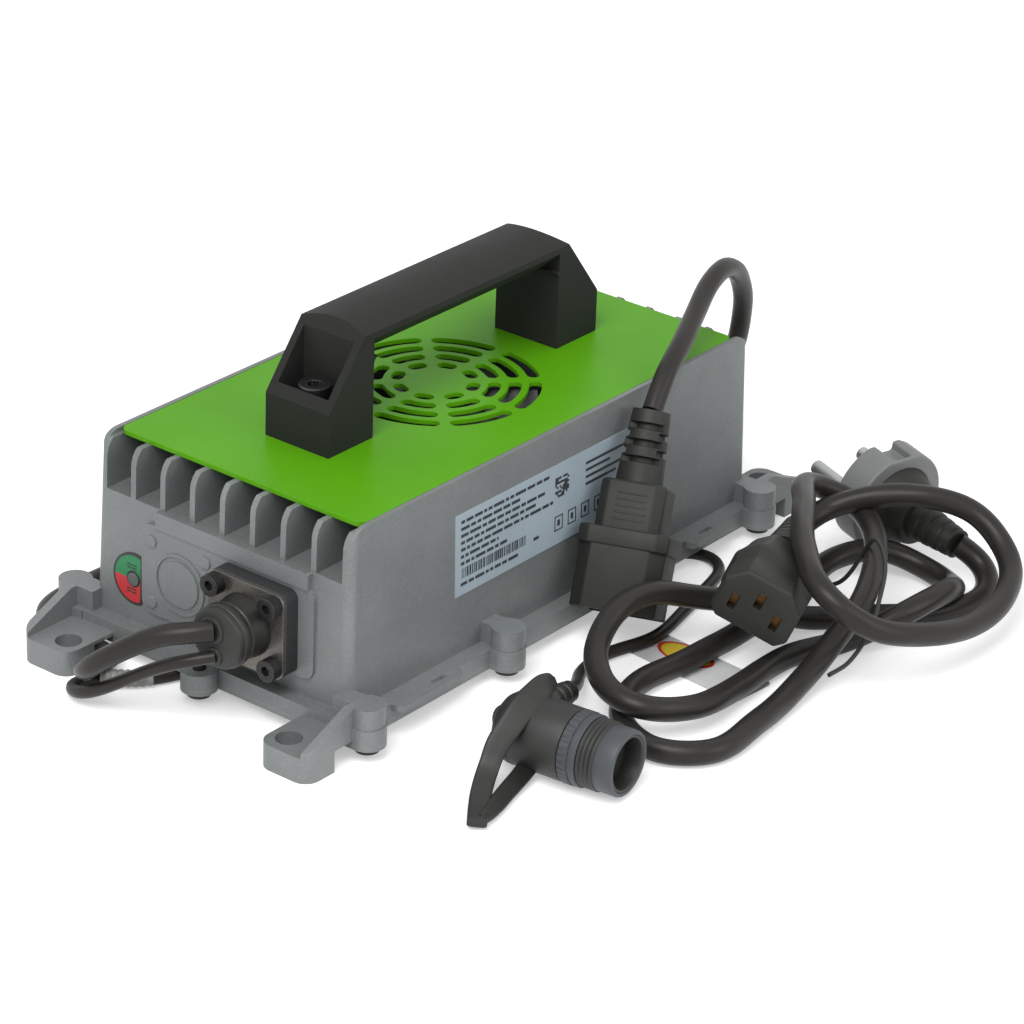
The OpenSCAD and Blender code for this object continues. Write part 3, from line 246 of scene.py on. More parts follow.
def blended(outline_a, outline_b, stations, place):
    """A shell between two outlines: at each station of height, inset and share k the outline
    is (1-k)·A + k·B, and both are closed with a face at the ends."""
    grid = []
    for z, inset, k in stations:
        o = (1 - k) * outline_a(inset) + k * outline_b(inset)
        grid.append(np.column_stack([o, np.full(len(o), z)]))
    return skin(put(np.stack(grid), place))


def soft_edge(z0, z1, r, n=3):
    """Stations of a body from z0 to z1 whose two rims are rounded by r: z and inset run on a
    quarter circle at each end."""
    a = np.linspace(0, np.pi / 2, n + 1)
    s = 1 if z1 > z0 else -1
    low = [(z0 + s * r * (1 - math.sin(t)), r * (1 - math.cos(t))) for t in a[::-1]]
    high = [(z1 - s * r * (1 - math.sin(t)), r * (1 - math.cos(t))) for t in a]
    return low + high


def smooth_line(points, step=2.0):
    """A smooth route through points, evenly spaced. On each span of length h the route is the
    cubic with the span's two ends and end slopes, and a slope is the mean of the neighbouring
    spans' slopes weighted by the other span's length."""
    p = np.asarray(points, float)
    h = np.linalg.norm(np.diff(p, axis=0), axis=1)[:, None]
    s = np.diff(p, axis=0) / h
    m = np.vstack([s[:1], (s[:-1] * h[1:] + s[1:] * h[:-1]) / (h[1:] + h[:-1]), s[-1:]])
    t = np.linspace(0, 1, 24, endpoint=False)[None, :, None]
    a, b, ma, mb, hh = p[:-1, None], p[1:, None], m[:-1, None], m[1:, None], h[:, None]
    q = ((2 * t ** 3 - 3 * t ** 2 + 1) * a + (t ** 3 - 2 * t ** 2 + t) * hh * ma
         + (3 * t ** 2 - 2 * t ** 3) * b + (t ** 3 - t ** 2) * hh * mb)
    q = np.vstack([q.reshape(-1, 3), p[-1:]])
    run = np.concatenate([[0], np.cumsum(np.linalg.norm(np.diff(q, axis=0), axis=1))])
    at = np.linspace(0, run[-1], max(int(run[-1] / step), 8) + 1)
    return np.column_stack([np.interp(at, run, q[:, k]) for k in range(3)])


def eased(route, rounds=9):
    """A route with its tight turns eased: in each round every inner station becomes a quarter
    of the last one, half of itself and a quarter of the next one."""
    q = np.array(route, float)
    for _ in range(rounds):
        q[1:-1] = (q[:-2] + 2 * q[1:-1] + q[2:]) / 4
    return q


def along_route(route):
    """Axes that travel along a route without turning about it: each station's side is the
    last one's, less its part along the new direction."""
    t = unit(np.gradient(route, axis=0))
    side = np.empty_like(t)
    u = np.cross(t[0], [0, 0, 1.0])
    for i, d in enumerate(t):
        u = unit(u - d * (u @ d))
        side[i] = u
    return t, side, np.cross(t, side)


def tube(route, radius, sides=24, ripple=None, flat=(1.0, 1.0)):
    """A tube along a route: centre + r(s, a)·(cos a·side·w + sin a·rise·h), where s is the
    run so far, ripple(a, s) may scale r, and flat gives w and h."""
    t, u, v = along_route(route)
    s = np.concatenate([[0], np.cumsum(np.linalg.norm(np.diff(route, axis=0), axis=1))])[:, None]
    a = np.linspace(0, 2 * np.pi, sides, endpoint=False)[None, :]
    share = 1 if ripple is None else ripple(a, s)
    r = np.asarray(radius, float).reshape(-1, 1) * share + 0 * a
    ring = ((r * np.cos(a) * flat[0])[..., None] * u[:, None]
            + (r * np.sin(a) * flat[1])[..., None] * v[:, None])
    return skin(route[:, None] + ring)


def strap(route, width, thick, facing, floor=0.15):
    """A flat band along a route: its section is a rounded rectangle whose thin side points
    the way it faces, less that way's part along the route, and nothing lies below the floor."""
    t = unit(np.gradient(route, axis=0))
    wide = unit(np.cross(np.asarray(facing, float), t))
    face = np.cross(t, wide)
    w = np.asarray(width, float).reshape(-1, 1) * np.ones((len(route), 1))
    base = slab(1.0, 1.0, 0.28)()
    ring = route[:, None] + (base[None, :, :1] * w[..., None] * wide[:, None]
                             + base[None, :, 1:] * thick * face[:, None])
    ring[..., 2] = np.maximum(ring[..., 2], floor)
    return skin(ring)


def blocks(rects, thick, place):
    """A flat block for each rectangle x0, y0, x1, y1: its eight corners take each low or high
    value of x, y and z in turn, and lie up to thick above the place."""
    r = np.asarray(rects, float)
    pick = np.array([[0, 1], [2, 1], [2, 3], [0, 3]])
    flat = r[:, pick]
    z = np.array([-0.02, thick])[None, :, None, None] * np.ones((len(r), 1, 4, 1))
    points = np.concatenate([np.repeat(flat[:, None], 2, axis=1), z], -1).reshape(-1, 3)
    one = np.array([[3, 2, 1, 0], [4, 5, 6, 7], [0, 1, 5, 4], [1, 2, 6, 5], [2, 3, 7, 6],
                    [3, 0, 4, 7]])
    faces = (one[None] + 8 * np.arange(len(r))[:, None, None]).reshape(-1, 4)
    return put(points, place), faces.tolist()


def sector(inner, outer, angles, thick, place, cut=None, squash=(1.0, 1.0), steps=48):
    """A flat ring sector between two radii and two angles: a point is r·(cos t, sin t), scaled
    by squash, and where cut is given the outer radius is at most cut / cos t."""
    t = np.radians(np.linspace(angles[0], angles[1], steps))
    far = np.full(steps, float(outer))
    if cut is not None:
        far = np.where(np.cos(t) > cut / outer, cut / np.maximum(np.cos(t), 1e-6), far)
    r = np.stack([np.full(steps, float(inner)), far, far, np.full(steps, float(inner))], 1)
    z = np.array([-0.02, -0.02, thick, thick])[None] + 0 * r
    grid = np.stack([squash[0] * r * np.cos(t)[:, None], squash[1] * r * np.sin(t)[:, None], z], -1)
    whole = abs(angles[1] - angles[0]) > 359
    points, faces = skin(put(grid, place), capped=(not whole, not whole))
    return points, faces


def solid(name, shells, material, smooth=35, recalc=True):
    """One object from shells of points in millimetres and their faces, at the origin."""
    points, faces, start = [], [], 0
    for p, f in shells:
        points.append(p)
        faces += [[start + k for k in face] for face in f]
        start += len(p)
    mesh = bpy.data.meshes.new(name)
    mesh.from_pydata((np.vstack(points) * MM).tolist(), [], faces)
    bm = bmesh.new()
    bm.from_mesh(mesh)
    bmesh.ops.remove_doubles(bm, verts=bm.verts, dist=2e-6)
    if recalc:
        bmesh.ops.recalc_face_normals(bm, faces=bm.faces)
    bm.to_mesh(mesh)
    bm.free()
    mesh.shade_smooth()
    mesh.set_sharp_from_angle(angle=math.radians(smooth))
    mesh.materials.append(material)
    obj = bpy.data.objects.new(name, mesh)
    bpy.context.scene.collection.objects.link(obj)
    return obj


def place_piece(obj, slot, *nodes):
    """The piece rides on the charger and stands for its nodes, which it hides; slot is not used."""
    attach(obj, BODY)
    if nodes:
        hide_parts(*nodes)
    return obj


def softened(name, node, edge, material, sharp=30, segments=2, body=BODY):
    """A copy of a CAD node with its sharp edges rounded. Its doubles are merged and its flat
    faces joined, each edge over the sharp angle is bevelled by edge in millimetres, faces of
    more than four corners are cut into triangles, and the attribute rim is 1 on the bevels."""
    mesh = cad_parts[node].data.copy()
    mesh.name = name
    bm = bmesh.new()
    bm.from_mesh(mesh)
    bmesh.ops.remove_doubles(bm, verts=bm.verts, dist=1e-6)
    bmesh.ops.dissolve_limit(bm, angle_limit=math.radians(0.1), verts=bm.verts, edges=bm.edges)
    bm.normal_update()
    edges = [e for e in bm.edges if len(e.link_faces) == 2
             and e.calc_face_angle(0) > math.radians(sharp)]
    made = bmesh.ops.bevel(bm, geom=edges, offset=edge * MM, offset_type="OFFSET",
                           segments=segments, profile=0.5, affect="EDGES", clamp_overlap=True,
                           miter_outer="ARC")
    new = set(made["faces"])
    bm.verts.index_update()
    faces, rim = [], []
    for f in bm.faces:
        corners = [v.index for v in f.verts]
        parts = [corners] if len(corners) <= 4 else [
            [corners[k] for k in t] for t in tessellate_polygon([[v.co for v in f.verts]])]
        faces += parts
        rim += [float(f in new)] * len(parts)
    points = [v.co[:] for v in bm.verts]
    bm.free()
    mesh.clear_geometry()
    mesh.from_pydata(points, [], faces)
    mesh.attributes.new("rim", "FLOAT", "FACE").data.foreach_set("value", rim)
    mesh.validate()
    mesh.materials.clear()
    mesh.materials.append(material)
    mesh.shade_smooth()
    mesh.set_sharp_from_angle(angle=math.radians(38))
    obj = bpy.data.objects.new(name, mesh)
    bpy.context.scene.collection.objects.link(obj)
    even = obj.modifiers.new("even_shading", "WEIGHTED_NORMAL")
    even.mode, even.weight, even.keep_sharp = "FACE_AREA", 90, True
    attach(obj, body)
    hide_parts(node)
    return obj


# ---------------------------------------------------------------- finishes

def node_in(tree, kind, values=None, **settings):
    """Adds a shader node, sets it up, and links or fills its inputs."""
    n = tree.nodes.new(kind)
    for key, value in settings.items():
        setattr(n, key, value)
    for key, value in (values or {}).items():
        if isinstance(value, bpy.types.NodeSocket):
            tree.links.new(value, n.inputs[key])
        else:
            n.inputs[key].default_value = value
    return n


def maths(tree, operation, *values):
    n = tree.nodes.new("ShaderNodeMath")
    n.operation = operation
    for i, value in enumerate(values):
        if isinstance(value, bpy.types.NodeSocket):
            tree.links.new(value, n.inputs[i])
        else:
            n.inputs[i].default_value = value
    return n.outputs[0]


def mixed(tree, share, a, b):
    n = tree.nodes.new("ShaderNodeMix")
    n.data_type = "RGBA"
    for socket, value in ((n.inputs[0], share), (n.inputs[6], a), (n.inputs[7], b)):
        if isinstance(value, bpy.types.NodeSocket):
            tree.links.new(value, socket)
        else:
            socket.default_value = value if socket is n.inputs[0] else (*value, 1.0)
    return n.outputs[2]


def spread(tree, value, low, high, to_low, to_high):
    n = node_in(tree, "ShaderNodeMapRange", {"Value": value, "From Min": low, "From Max": high})
    for key, v in (("To Min", to_low), ("To Max", to_high)):
        if isinstance(v, bpy.types.NodeSocket):
            tree.links.new(v, n.inputs[key])
        else:
            n.inputs[key].default_value = v
    return n.outputs[0]


def group(name, inputs, outputs):
    """A new shader node group with named sockets, its input and its output node."""
    g = bpy.data.node_groups.new(name, "ShaderNodeTree")
    for label, kind, value in inputs:
        socket = g.interface.new_socket(label, in_out="INPUT", socket_type="NodeSocket" + kind)
        socket.default_value = value
    for label, kind in outputs:
        g.interface.new_socket(label, in_out="OUTPUT", socket_type="NodeSocket" + kind)
    return g, g.nodes.new("NodeGroupInput"), g.nodes.new("NodeGroupOutput")


def surface_group():
    """The finish that every material shares: large soft patches between two colours, fine
    grain in colour, roughness and height, dust on upward faces, and a painted highlight: lighter
    bevelled edges, broken up by the patches."""
    if "Grained surface with dust and painted edge highlight" in bpy.data.node_groups:
        return bpy.data.node_groups["Grained surface with dust and painted edge highlight"]
    g, i, o = group("Grained surface with dust and painted edge highlight", [
        ("Base", "Color", (0.5, 0.5, 0.5, 1)), ("Patch", "Color", (0.4, 0.4, 0.4, 1)),
        ("Rim", "Color", (0.6, 0.6, 0.6, 1)), ("Dust", "Color", (0.5, 0.5, 0.5, 1)),
        ("Patch Size", "Float", 40.0), ("Grain Size", "Float", 900.0),
        ("Grain Share", "Float", 0.1), ("Highlight Share", "Float", 0.0), ("Dust Share", "Float", 0.0),
        ("Smoothest", "Float", 0.4), ("Roughest", "Float", 0.6),
    ], [("Colour", "Color"), ("Roughness", "Float"), ("Height", "Float")])
    at = g.nodes.new("ShaderNodeTexCoord").outputs["Object"]
    patch = node_in(g, "ShaderNodeTexNoise", {"Vector": at, "Scale": i.outputs["Patch Size"],
                                              "Detail": 4.0, "Roughness": 0.6}).outputs["Fac"]
    grain = node_in(g, "ShaderNodeTexNoise", {"Vector": at, "Scale": i.outputs["Grain Size"],
                                              "Detail": 2.0, "Roughness": 0.55}).outputs["Fac"]
    patched = mixed(g, spread(g, patch, 0.35, 0.65, 0.0, 1.0), i.outputs["Base"],
                    i.outputs["Patch"])
    grained = mixed(g, maths(g, "MULTIPLY", spread(g, grain, 0.4, 0.7, 0.0, 1.0),
                             i.outputs["Grain Share"]), patched, i.outputs["Rim"])
    # Painted highlight: on the bevel faces the colour is mixed towards the lighter Rim colour,
    # broken up by the patches.
    rim = node_in(g, "ShaderNodeAttribute", attribute_name="rim").outputs["Fac"]
    edge_highlight = maths(g, "MULTIPLY", maths(g, "MULTIPLY", rim, spread(g, patch, 0.3, 0.6, 0.5, 1.0)),
                 i.outputs["Highlight Share"])
    highlighted = mixed(g, edge_highlight, grained, i.outputs["Rim"])
    up = g.nodes.new("ShaderNodeSeparateXYZ")
    g.links.new(g.nodes.new("ShaderNodeNewGeometry").outputs["Normal"], up.inputs[0])
    dust = maths(g, "MULTIPLY", spread(g, up.outputs[2], 0.55, 1.0, 0.0, 1.0),
                 maths(g, "MULTIPLY", spread(g, patch, 0.4, 0.7, 0.0, 1.0),
                       i.outputs["Dust Share"]))
    g.links.new(mixed(g, dust, highlighted, i.outputs["Dust"]), o.inputs["Colour"])
    both = maths(g, "ADD", maths(g, "MULTIPLY", patch, 0.6), maths(g, "MULTIPLY", grain, 0.4))
    rough = spread(g, both, 0.35, 0.65, i.outputs["Smoothest"], i.outputs["Roughest"])
    g.links.new(maths(g, "MINIMUM", maths(g, "ADD", rough, maths(g, "MULTIPLY", dust, 0.5)), 1.0),
                o.inputs["Roughness"])
    g.links.new(grain, o.inputs["Height"])
    return g


def finish_of(name, base, patch=None, rim=None, rough=(0.45, 0.6), metal=0.0, patches=40.0,
              grain=900.0, depth=0.02, grain_share=0.1, highlight_share=0.0, dust=0.0, shine=0.5,
              coat=0.0, sheen=0.0):
    """A material of one finish: the shared surface group with its own values, and a bump of
    the given depth in millimetres from its grain."""
    if name in bpy.data.materials:
        return bpy.data.materials[name]
    base = np.array(base)
    patch = base * 0.86 if patch is None else np.array(patch)
    # rim is the lighter colour of the grain's flecks and of the painted highlight on the bevelled
    # edges.
    rim = np.clip(base * 1.4 + 0.008, 0, 1) if rim is None else np.array(rim)
    m = bpy.data.materials.new(name)
    m.use_nodes = True
    tree = m.node_tree
    tree.nodes.clear()
    s = tree.nodes.new("ShaderNodeGroup")
    s.node_tree = surface_group()
    for key, value in (("Base", (*base, 1)), ("Patch", (*patch, 1)), ("Rim", (*rim, 1)),
                       ("Dust", (0.32, 0.31, 0.29, 1)), ("Patch Size", patches),
                       ("Grain Size", grain), ("Grain Share", grain_share),
                       ("Highlight Share", highlight_share), ("Dust Share", dust), ("Smoothest", rough[0]),
                       ("Roughest", rough[1])):
        s.inputs[key].default_value = value
    bump = node_in(tree, "ShaderNodeBump", {"Height": s.outputs["Height"], "Strength": 0.8,
                                            "Distance": depth * MM})
    shader = node_in(tree, "ShaderNodeBsdfPrincipled", {
        "Base Color": s.outputs["Colour"], "Roughness": s.outputs["Roughness"],
        "Normal": bump.outputs[0], "Metallic": metal, "Specular IOR Level": shine,
        "Coat Weight": coat, "Sheen Weight": sheen})
    out = tree.nodes.new("ShaderNodeOutputMaterial")
    tree.links.new(shader.outputs[0], out.inputs[0])
    return m


def casting_finish():
    c = bpy.context.scene.charger_colours
    # Painted highlight: the casting's bevelled edges are mixed strongly towards its lighter edge
    # colour.
    return finish_of("casting_coat", c.casting, c.casting_shade, c.casting_grain_and_highlight, (0.42, 0.56),
                     metal=0.25, patches=22, grain=1500, depth=0.03, grain_share=0.12,
                     highlight_share=0.85)


def plate_finish():
    c = bpy.context.scene.charger_colours
    # Painted highlight: the plate's bevelled edges are mixed towards a lighter green.
    return finish_of("green_paint", c.plate, c.plate_shade, None, (0.36, 0.46), patches=18,
                     grain=1300, depth=0.02, grain_share=0.05, highlight_share=0.35,
                     shine=0.13)


def handle_finish():
    c = bpy.context.scene.charger_colours
    # Painted highlight: the handle's bevelled edges are mixed towards a lighter grey.
    return finish_of("handle_grain", c.handle, None, None, (0.5, 0.66), patches=30, grain=2200,
                     depth=0.08, grain_share=0.22, highlight_share=0.6, dust=0.02,
                     shine=0.12)


def rubber_finish():
    c = bpy.context.scene.charger_colours
    return finish_of("boot_rubber", c.rubber, None, None, (0.4, 0.58), patches=60, grain=1600,
                     depth=0.03, dust=0.02)


def jacket_finish():
    c = bpy.context.scene.charger_colours
    return finish_of("cord_jacket", c.jacket, None, None, (0.3, 0.42), patches=70, grain=2400,
                     depth=0.02, grain_share=0.08, dust=0.02, shine=0.24)


def moulding_finish():
    c = bpy.context.scene.charger_colours
    return finish_of("plug_moulding", c.moulding, None, None, (0.5, 0.64), patches=60,
                     grain=2600, depth=0.03, dust=0.015, shine=0.38)


def black_steel():
    # Painted highlight: the screws' bevelled edges are mixed towards a lighter grey.
    return finish_of("blackened_steel", paint("2e2e2f"), None, paint("6a6a6a"), (0.35, 0.5),
                     metal=0.6, grain=2000, depth=0.01, highlight_share=0.5)


def plated_steel():
    return finish_of("plated_steel", paint("b9babb"), None, None, (0.28, 0.42), metal=1.0,
                     grain=2200, depth=0.01)


def brass_finish():
    return finish_of("contact_brass", paint("7d5c3a"), paint("5e4128"), None, (0.3, 0.45),
                     metal=0.9, patches=200, grain=2600, depth=0.01)


# ------------------------------------------------ the cords' routes, as in the part's source

PIGTAIL = [[-117, -15, 33], [-122, -11.5, 33], [-127, -4, 31.5], [-131, 3.5, 27],
           [-134, 11, 21.5], [-134.2, 17.5, 16], [-131.2, 23, 11.8], [-126, 26.2, 9.6],
           [-120, 27.4, 8.6], [-114, 28.8, 6.6], [-109.4, 32.6, 4.1], [-107.3, 39, 3.4],
           [-107.3, 46, 3.4], [-107.3, 56, 3.4], [-105.7, 62.8, 3.4], [-101, 68.3, 3.4],
           [-94, 71, 3.4], [-86, 71.5, 3.4], [-50, 70, 3.4], [0, 68, 3.4], [50, 69, 3.4],
           [92, 74, 4], [124, 69, 4], [142, 46, 4], [144, 18, 8], [138, -8, 26],
           [129, -22, 47], [122, -28, 67], [111, -32, 80], [99, -35, 85], [86, -38.5, 83],
           [70, -45, 79], [55, -51, 76], [43, -54.5, 71], [35, -56.7, 63.8]]
BATTERY = [[-117, -16, 25], [-122, -11.8, 24.3], [-125.5, -4, 21], [-128, 4.5, 15.8],
           [-130.2, 13, 10], [-131.8, 20.5, 5.6], [-131.4, 27.5, 3.2], [-127.6, 31.9, 2.3],
           [-122.4, 31.7, 2.2], [-118.6, 27.4, 2.2], [-114.6, 21.4, 2.2], [-107, 15.8, 2.2],
           [-96, 11.2, 2.2], [-30, -13, 2.2], [40, -38, 2.2], [55, -43.5, 2.2], [64.5, -49, 2.2],
           [69, -57.5, 2.2], [64.5, -65.5, 2.2], [51, -70, 2.2], [34, -74, 2.2], [12, -78, 2.2],
           [-7, -73, 2.2], [-22, -76, 3], [-32, -83, 6], [-41, -87, 9]]
LEAD = [[109, -124, 14], [112, -132, 9], [105, -139, 5], [85, -137, 4], [65, -119, 4],
        [49, -106, 5], [34, -98, 13], [20, -89, 17], [4, -83, 23], [-9, -82, 24], [-24, -84, 19],
        [-37, -95, 14], [-40, -110, 12], [-26, -119, 9], [0, -118, 5], [28, -117, 4],
        [49, -126, 5], [66, -136, 12], [84, -137, 12], [99, -129, 5], [104, -116, 5],
        [98, -102, 9], [86, -93, 7], [66, -95, 4], [34, -97, 4], [6, -96, 4], [-20, -94, 4],
        [-38, -104, 4], [-45, -121, 4], [-36, -134, 4], [-14, -134, 4], [12, -131, 5],
        [34, -130, 13], [52, -127, 18], [71, -118, 21], [86, -107, 22], [95, -91, 24],
        [86, -83, 30], [63, -96, 35], [36, -115, 36], [21, -133, 33], [27, -146, 24],
        [44, -153, 18], [66, -156, 13], [89, -154, 13], [107, -144, 17], [110, -130, 26],
        [101, -116, 31], [92, -101, 29], [83, -90, 24], [69.9, -89.4, 22]]
TIE = [[62, -98, 8], [66, -108, 11], [70, -118, 28], [62, -127, 27], [48, -135, 22],
       [36, -139, 15], [28, -138, 9], [20, -137, 8]]
STRAP = [[-58.5, -93.5, 21.5], [-64.5, -95, 23], [-71, -96.6, 23], [-77, -97, 21.2],
         [-81.8, -97, 18.2], [-86, -96.3, 14.4], [-90.6, -96.8, 8.8], [-97.8, -100, 5.0],
         [-103.5, -103.6, 3.2], [-109.3, -107.8, 2.7]]
STRAP_BACK = [[-107.3, -107.4, 2.6], [-103.4, -106.9, 2.6], [-98, -105.4, 2.6],
              [-90.5, -103.2, 2.7], [-82, -101.2, 3.2], [-75, -99.5, 4]]

INLINE_ENDS = ([5.5, -68.3, 10], [35, -56.7, 63.8])
SOCKET_ENDS = ([10.7, -116, 27], [69.9, -89.4, 22])
WALL_ENDS = ([112.4, -107.5, 15.6], [118.2, -86.5, 18.2])
INLINE_LENGTH, SOCKET_LENGTH, WALL_LENGTH = (
    float(np.linalg.norm(np.array(high) - np.array(low)))
    for low, high in (INLINE_ENDS, SOCKET_ENDS, WALL_ENDS))
INLINE = stand(*INLINE_ENDS, -90)
SOCKET = stand(*SOCKET_ENDS, -67.4)
CONNECTOR = (np.array([-71, -89, 11.5]), turned(5.5, 2) @ turned(90, 0))
WALL_PLUG = stand(*WALL_ENDS)
GLAND = (np.array([0, -16.5, 30.7]), turned(-90, 1))
TOWARDS_CAMERA = np.array([-0.71, -0.55, 0.44])
DRAFT = 0.026


def wall_place(corner, right, out):
    """The place of flat marks on a drafted wall: X to the right as seen from outside, Y up
    along the wall and Z outwards, leaning by the wall's draft."""
    right, out = np.array(right, float), np.array(out, float)
    up = unit(np.array([0, 0, 1.0]) - out * DRAFT)
    return np.array(corner, float), np.column_stack([right, up, np.cross(right, up)])


DISC = wall_place([-97.54, 34.3, 25.1], [0, -1, 0], [-1, 0, 0])
FILM = wall_place([-50, -50.26, 30], [1, 0, 0], [0, -1, 0])


def fluted(share, lobes=3, lay=70.0):
    """A cord's surface over its twisted cores: the radius is 1 - share·(1 - cos)/2 of lobes
    lobes that turn once in a lay of that many millimetres."""
    return lambda a, s: 1 - share * (0.5 - 0.5 * np.cos(lobes * (a + 2 * np.pi * s / lay)))


# ---------------------------------------------------------------- operators

class CHARGER_OT_casing(bpy.types.Operator):
    """Make the cast housing with its cover, seal and screws"""
    bl_idname = "charger.casing"
    bl_label = "Casing"

    def execute(self, context):
        sizes = context.scene.charger_sizes
        softened("housing_casting", "housing", sizes.cast_edge / MM, casting_finish(), segments=2)
        softened("bottom_sheet", "bottom_cover", 0.3, casting_finish())
        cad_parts["cover_seal"].data.materials[0] = rubber_finish()
        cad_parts["cover_screws"].data.materials[0] = black_steel()
        return {"FINISHED"}


class CHARGER_OT_top(bpy.types.Operator):
    """Make the green top plate and the fan under it"""
    bl_idname = "charger.top"
    bl_label = "Top plate and fan"

    def execute(self, context):
        sizes = context.scene.charger_sizes
        softened("grille_plate", "top_plate", sizes.plate_edge / MM, plate_finish())
        fan = finish_of("fan_moulding", paint("2b2d2e"), None, None, (0.45, 0.6), depth=0.02)
        softened("fan_housing", "fan_frame", 0.25, fan)
        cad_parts["fan_rotor"].data.materials[0] = fan
        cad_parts["fan_screws"].data.materials[0] = plated_steel()
        return {"FINISHED"}


class CHARGER_OT_handle(bpy.types.Operator):
    """Make the carrying handle and its screws"""
    bl_idname = "charger.handle"
    bl_label = "Handle"

    def execute(self, context):
        softened("carrying_handle", "handle", context.scene.charger_sizes.handle_edge / MM,
                 handle_finish(), segments=3)
        softened("handle_bolts", "handle_screws", 0.3, black_steel())
        return {"FINISHED"}


class CHARGER_OT_gland(bpy.types.Operator):
    """Make the cord gland: block, clamp plate, screws and boot"""
    bl_idname = "charger.gland"
    bl_label = "Gland"

    def execute(self, context):
        # Painted highlight: the block's and the clamp plate's bevelled edges are mixed towards
        # lighter colours.
        block = finish_of("gland_moulding", paint("2c2d2e"), None, None, (0.42, 0.58), depth=0.02,
                          highlight_share=0.4)
        steel = finish_of("stainless_sheet", paint("736f69"), paint("625e59"), paint("d2cfc9"),
                          (0.3, 0.44), metal=0.85, patches=60, grain=1800, depth=0.01,
                          grain_share=0.15, highlight_share=0.9)
        softened("gland_moulding", "gland_block", 0.6, block)
        softened("clamp_plate", "gland_plate", 0.3, steel)
        softened("clamp_screws", "gland_screws", 0.3, black_steel())
        profile = [[6.9, 98.2], [6.9, 103.4], [9.9, 103.4], [10, 103.7], [9.8, 106], [9.3, 108.6],
                   [9.2, 110.6], [8.8, 111.0], [8.8, 111.6], [9.4, 111.9], [9.8, 112.3],
                   [9.9, 112.8], [9.9, 114.4], [9.7, 114.8], [9.55, 114.9], [9.55, 115.2],
                   [9.5, 116.2], [9.2, 116.8], [8.6, 117.0], [6.0, 117.0]]
        shells = [turned_shell(profile, GLAND, 96)]
        for y, z, r in ((-15, 33, 3.5), (-16, 25, 2.0)):
            lip = [[r + 0.2, 115.5], [r + 1.0, 116.6], [r + 1.0, 117.0], [r + 0.8, 117.4],
                   [r + 0.4, 117.6], [r - 0.1, 117.6]]
            shells.append(turned_shell(lip, (np.array([0, y, z]), turned(-90, 1)), 40))
        boot = solid("gland_rubber_boot", shells, rubber_finish())
        place_piece(boot, "gland_boot", "gland_boot")
        return {"FINISHED"}


class CHARGER_OT_labels(bpy.types.Operator):
    """Make the two-colour indicator disc, its light and the rating film with plain bars"""
    bl_idname = "charger.labels"
    bl_label = "Labels"

    def execute(self, context):
        c = context.scene.charger_colours
        film = finish_of("rating_film", c.film, None, None, (0.3, 0.4), patches=25, grain=1500,
                         depth=0.004, grain_share=0.03)
        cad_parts["rating_label"].data.materials[0] = film
        ink = finish_of("film_ink", c.print, None, None, (0.4, 0.5), depth=0.002)
        chance = np.random.default_rng(11)
        rects = []
        for row in range(10):
            x, y, right = 2.5, 23.2 - 2.25 * row, (44, 30, 42, 38, 46, 20, 24, 34, 40, 30)[row]
            while x < right:
                w = chance.uniform(1.2, 5.2)
                rects.append([x, y, min(x + w, right), y + 1.0])
                x += w + 0.7
        x = 3.0
        while x < 33:
            w = chance.choice([0.25, 0.5, 0.75])
            rects.append([x, 5.4, x + w, 8.6])
            x += w + chance.choice([0.3, 0.5])
        for i, j in np.argwhere(chance.random((9, 9)) > 0.45):
            rects.append([47 + 0.75 * i, 15.4 + 0.75 * j, 47.75 + 0.75 * i, 16.15 + 0.75 * j])
        for row in range(4):
            rects.append([62, 21.6 - 2.3 * row, 62 + (20, 12, 21, 15)[row], 22.5 - 2.3 * row])
        for x in (47, 53.5, 60, 66.5):
            rects += [[x, 4.5, x + 4, 4.9], [x, 9.0, x + 4, 9.4], [x, 4.5, x + 0.4, 9.4],
                      [x + 3.6, 4.5, x + 4, 9.4], [x + 1.4, 6, x + 2.6, 8]]
        keep = [r for k, r in enumerate(rects) if not (r[1] < 8.8 and r[3] > 5.2 and r[0] < 36
                                                       and r[3] - r[1] < 1.1)]
        marks = solid("film_marks", [blocks(keep, 0.05, FILM)], ink)
        place_piece(marks, "rating_label")
        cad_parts["indicator_lens"].data.materials[0] = finish_of(
            "light_pipe", paint("5d6461"), None, None, (0.2, 0.3), coat=0.5)
        dark = finish_of("disc_rim", paint("252b27"), None, None, (0.35, 0.45), depth=0.004)
        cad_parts["indicator_label"].data.materials[0] = dark
        for name, code, angles in (("ready_half", c.green_half, (0, 180)),
                                   ("charging_half", c.red_half, (-180, 0))):
            tone = finish_of(name + "_print", code, None, None, (0.3, 0.4), depth=0.004)
            half = solid(name, [sector(2.75, 7.5, angles, 0.06, DISC, cut=2.75)], tone)
            place_piece(half, "indicator_label")
            words = [[x, y, x + w, y + 0.5] for y in (4.2, 3.2)
                     for x, w in ((-2.6, 1.5), (-0.8, 2.0))]
            if angles[0] < 0:
                words = [[x0, -y1, x1, -y0] for x0, y0, x1, y1 in words]
            print_marks = solid(name + "_marks", [blocks(words, 0.09, DISC)], dark)
            place_piece(print_marks, "indicator_label")
        return {"FINISHED"}


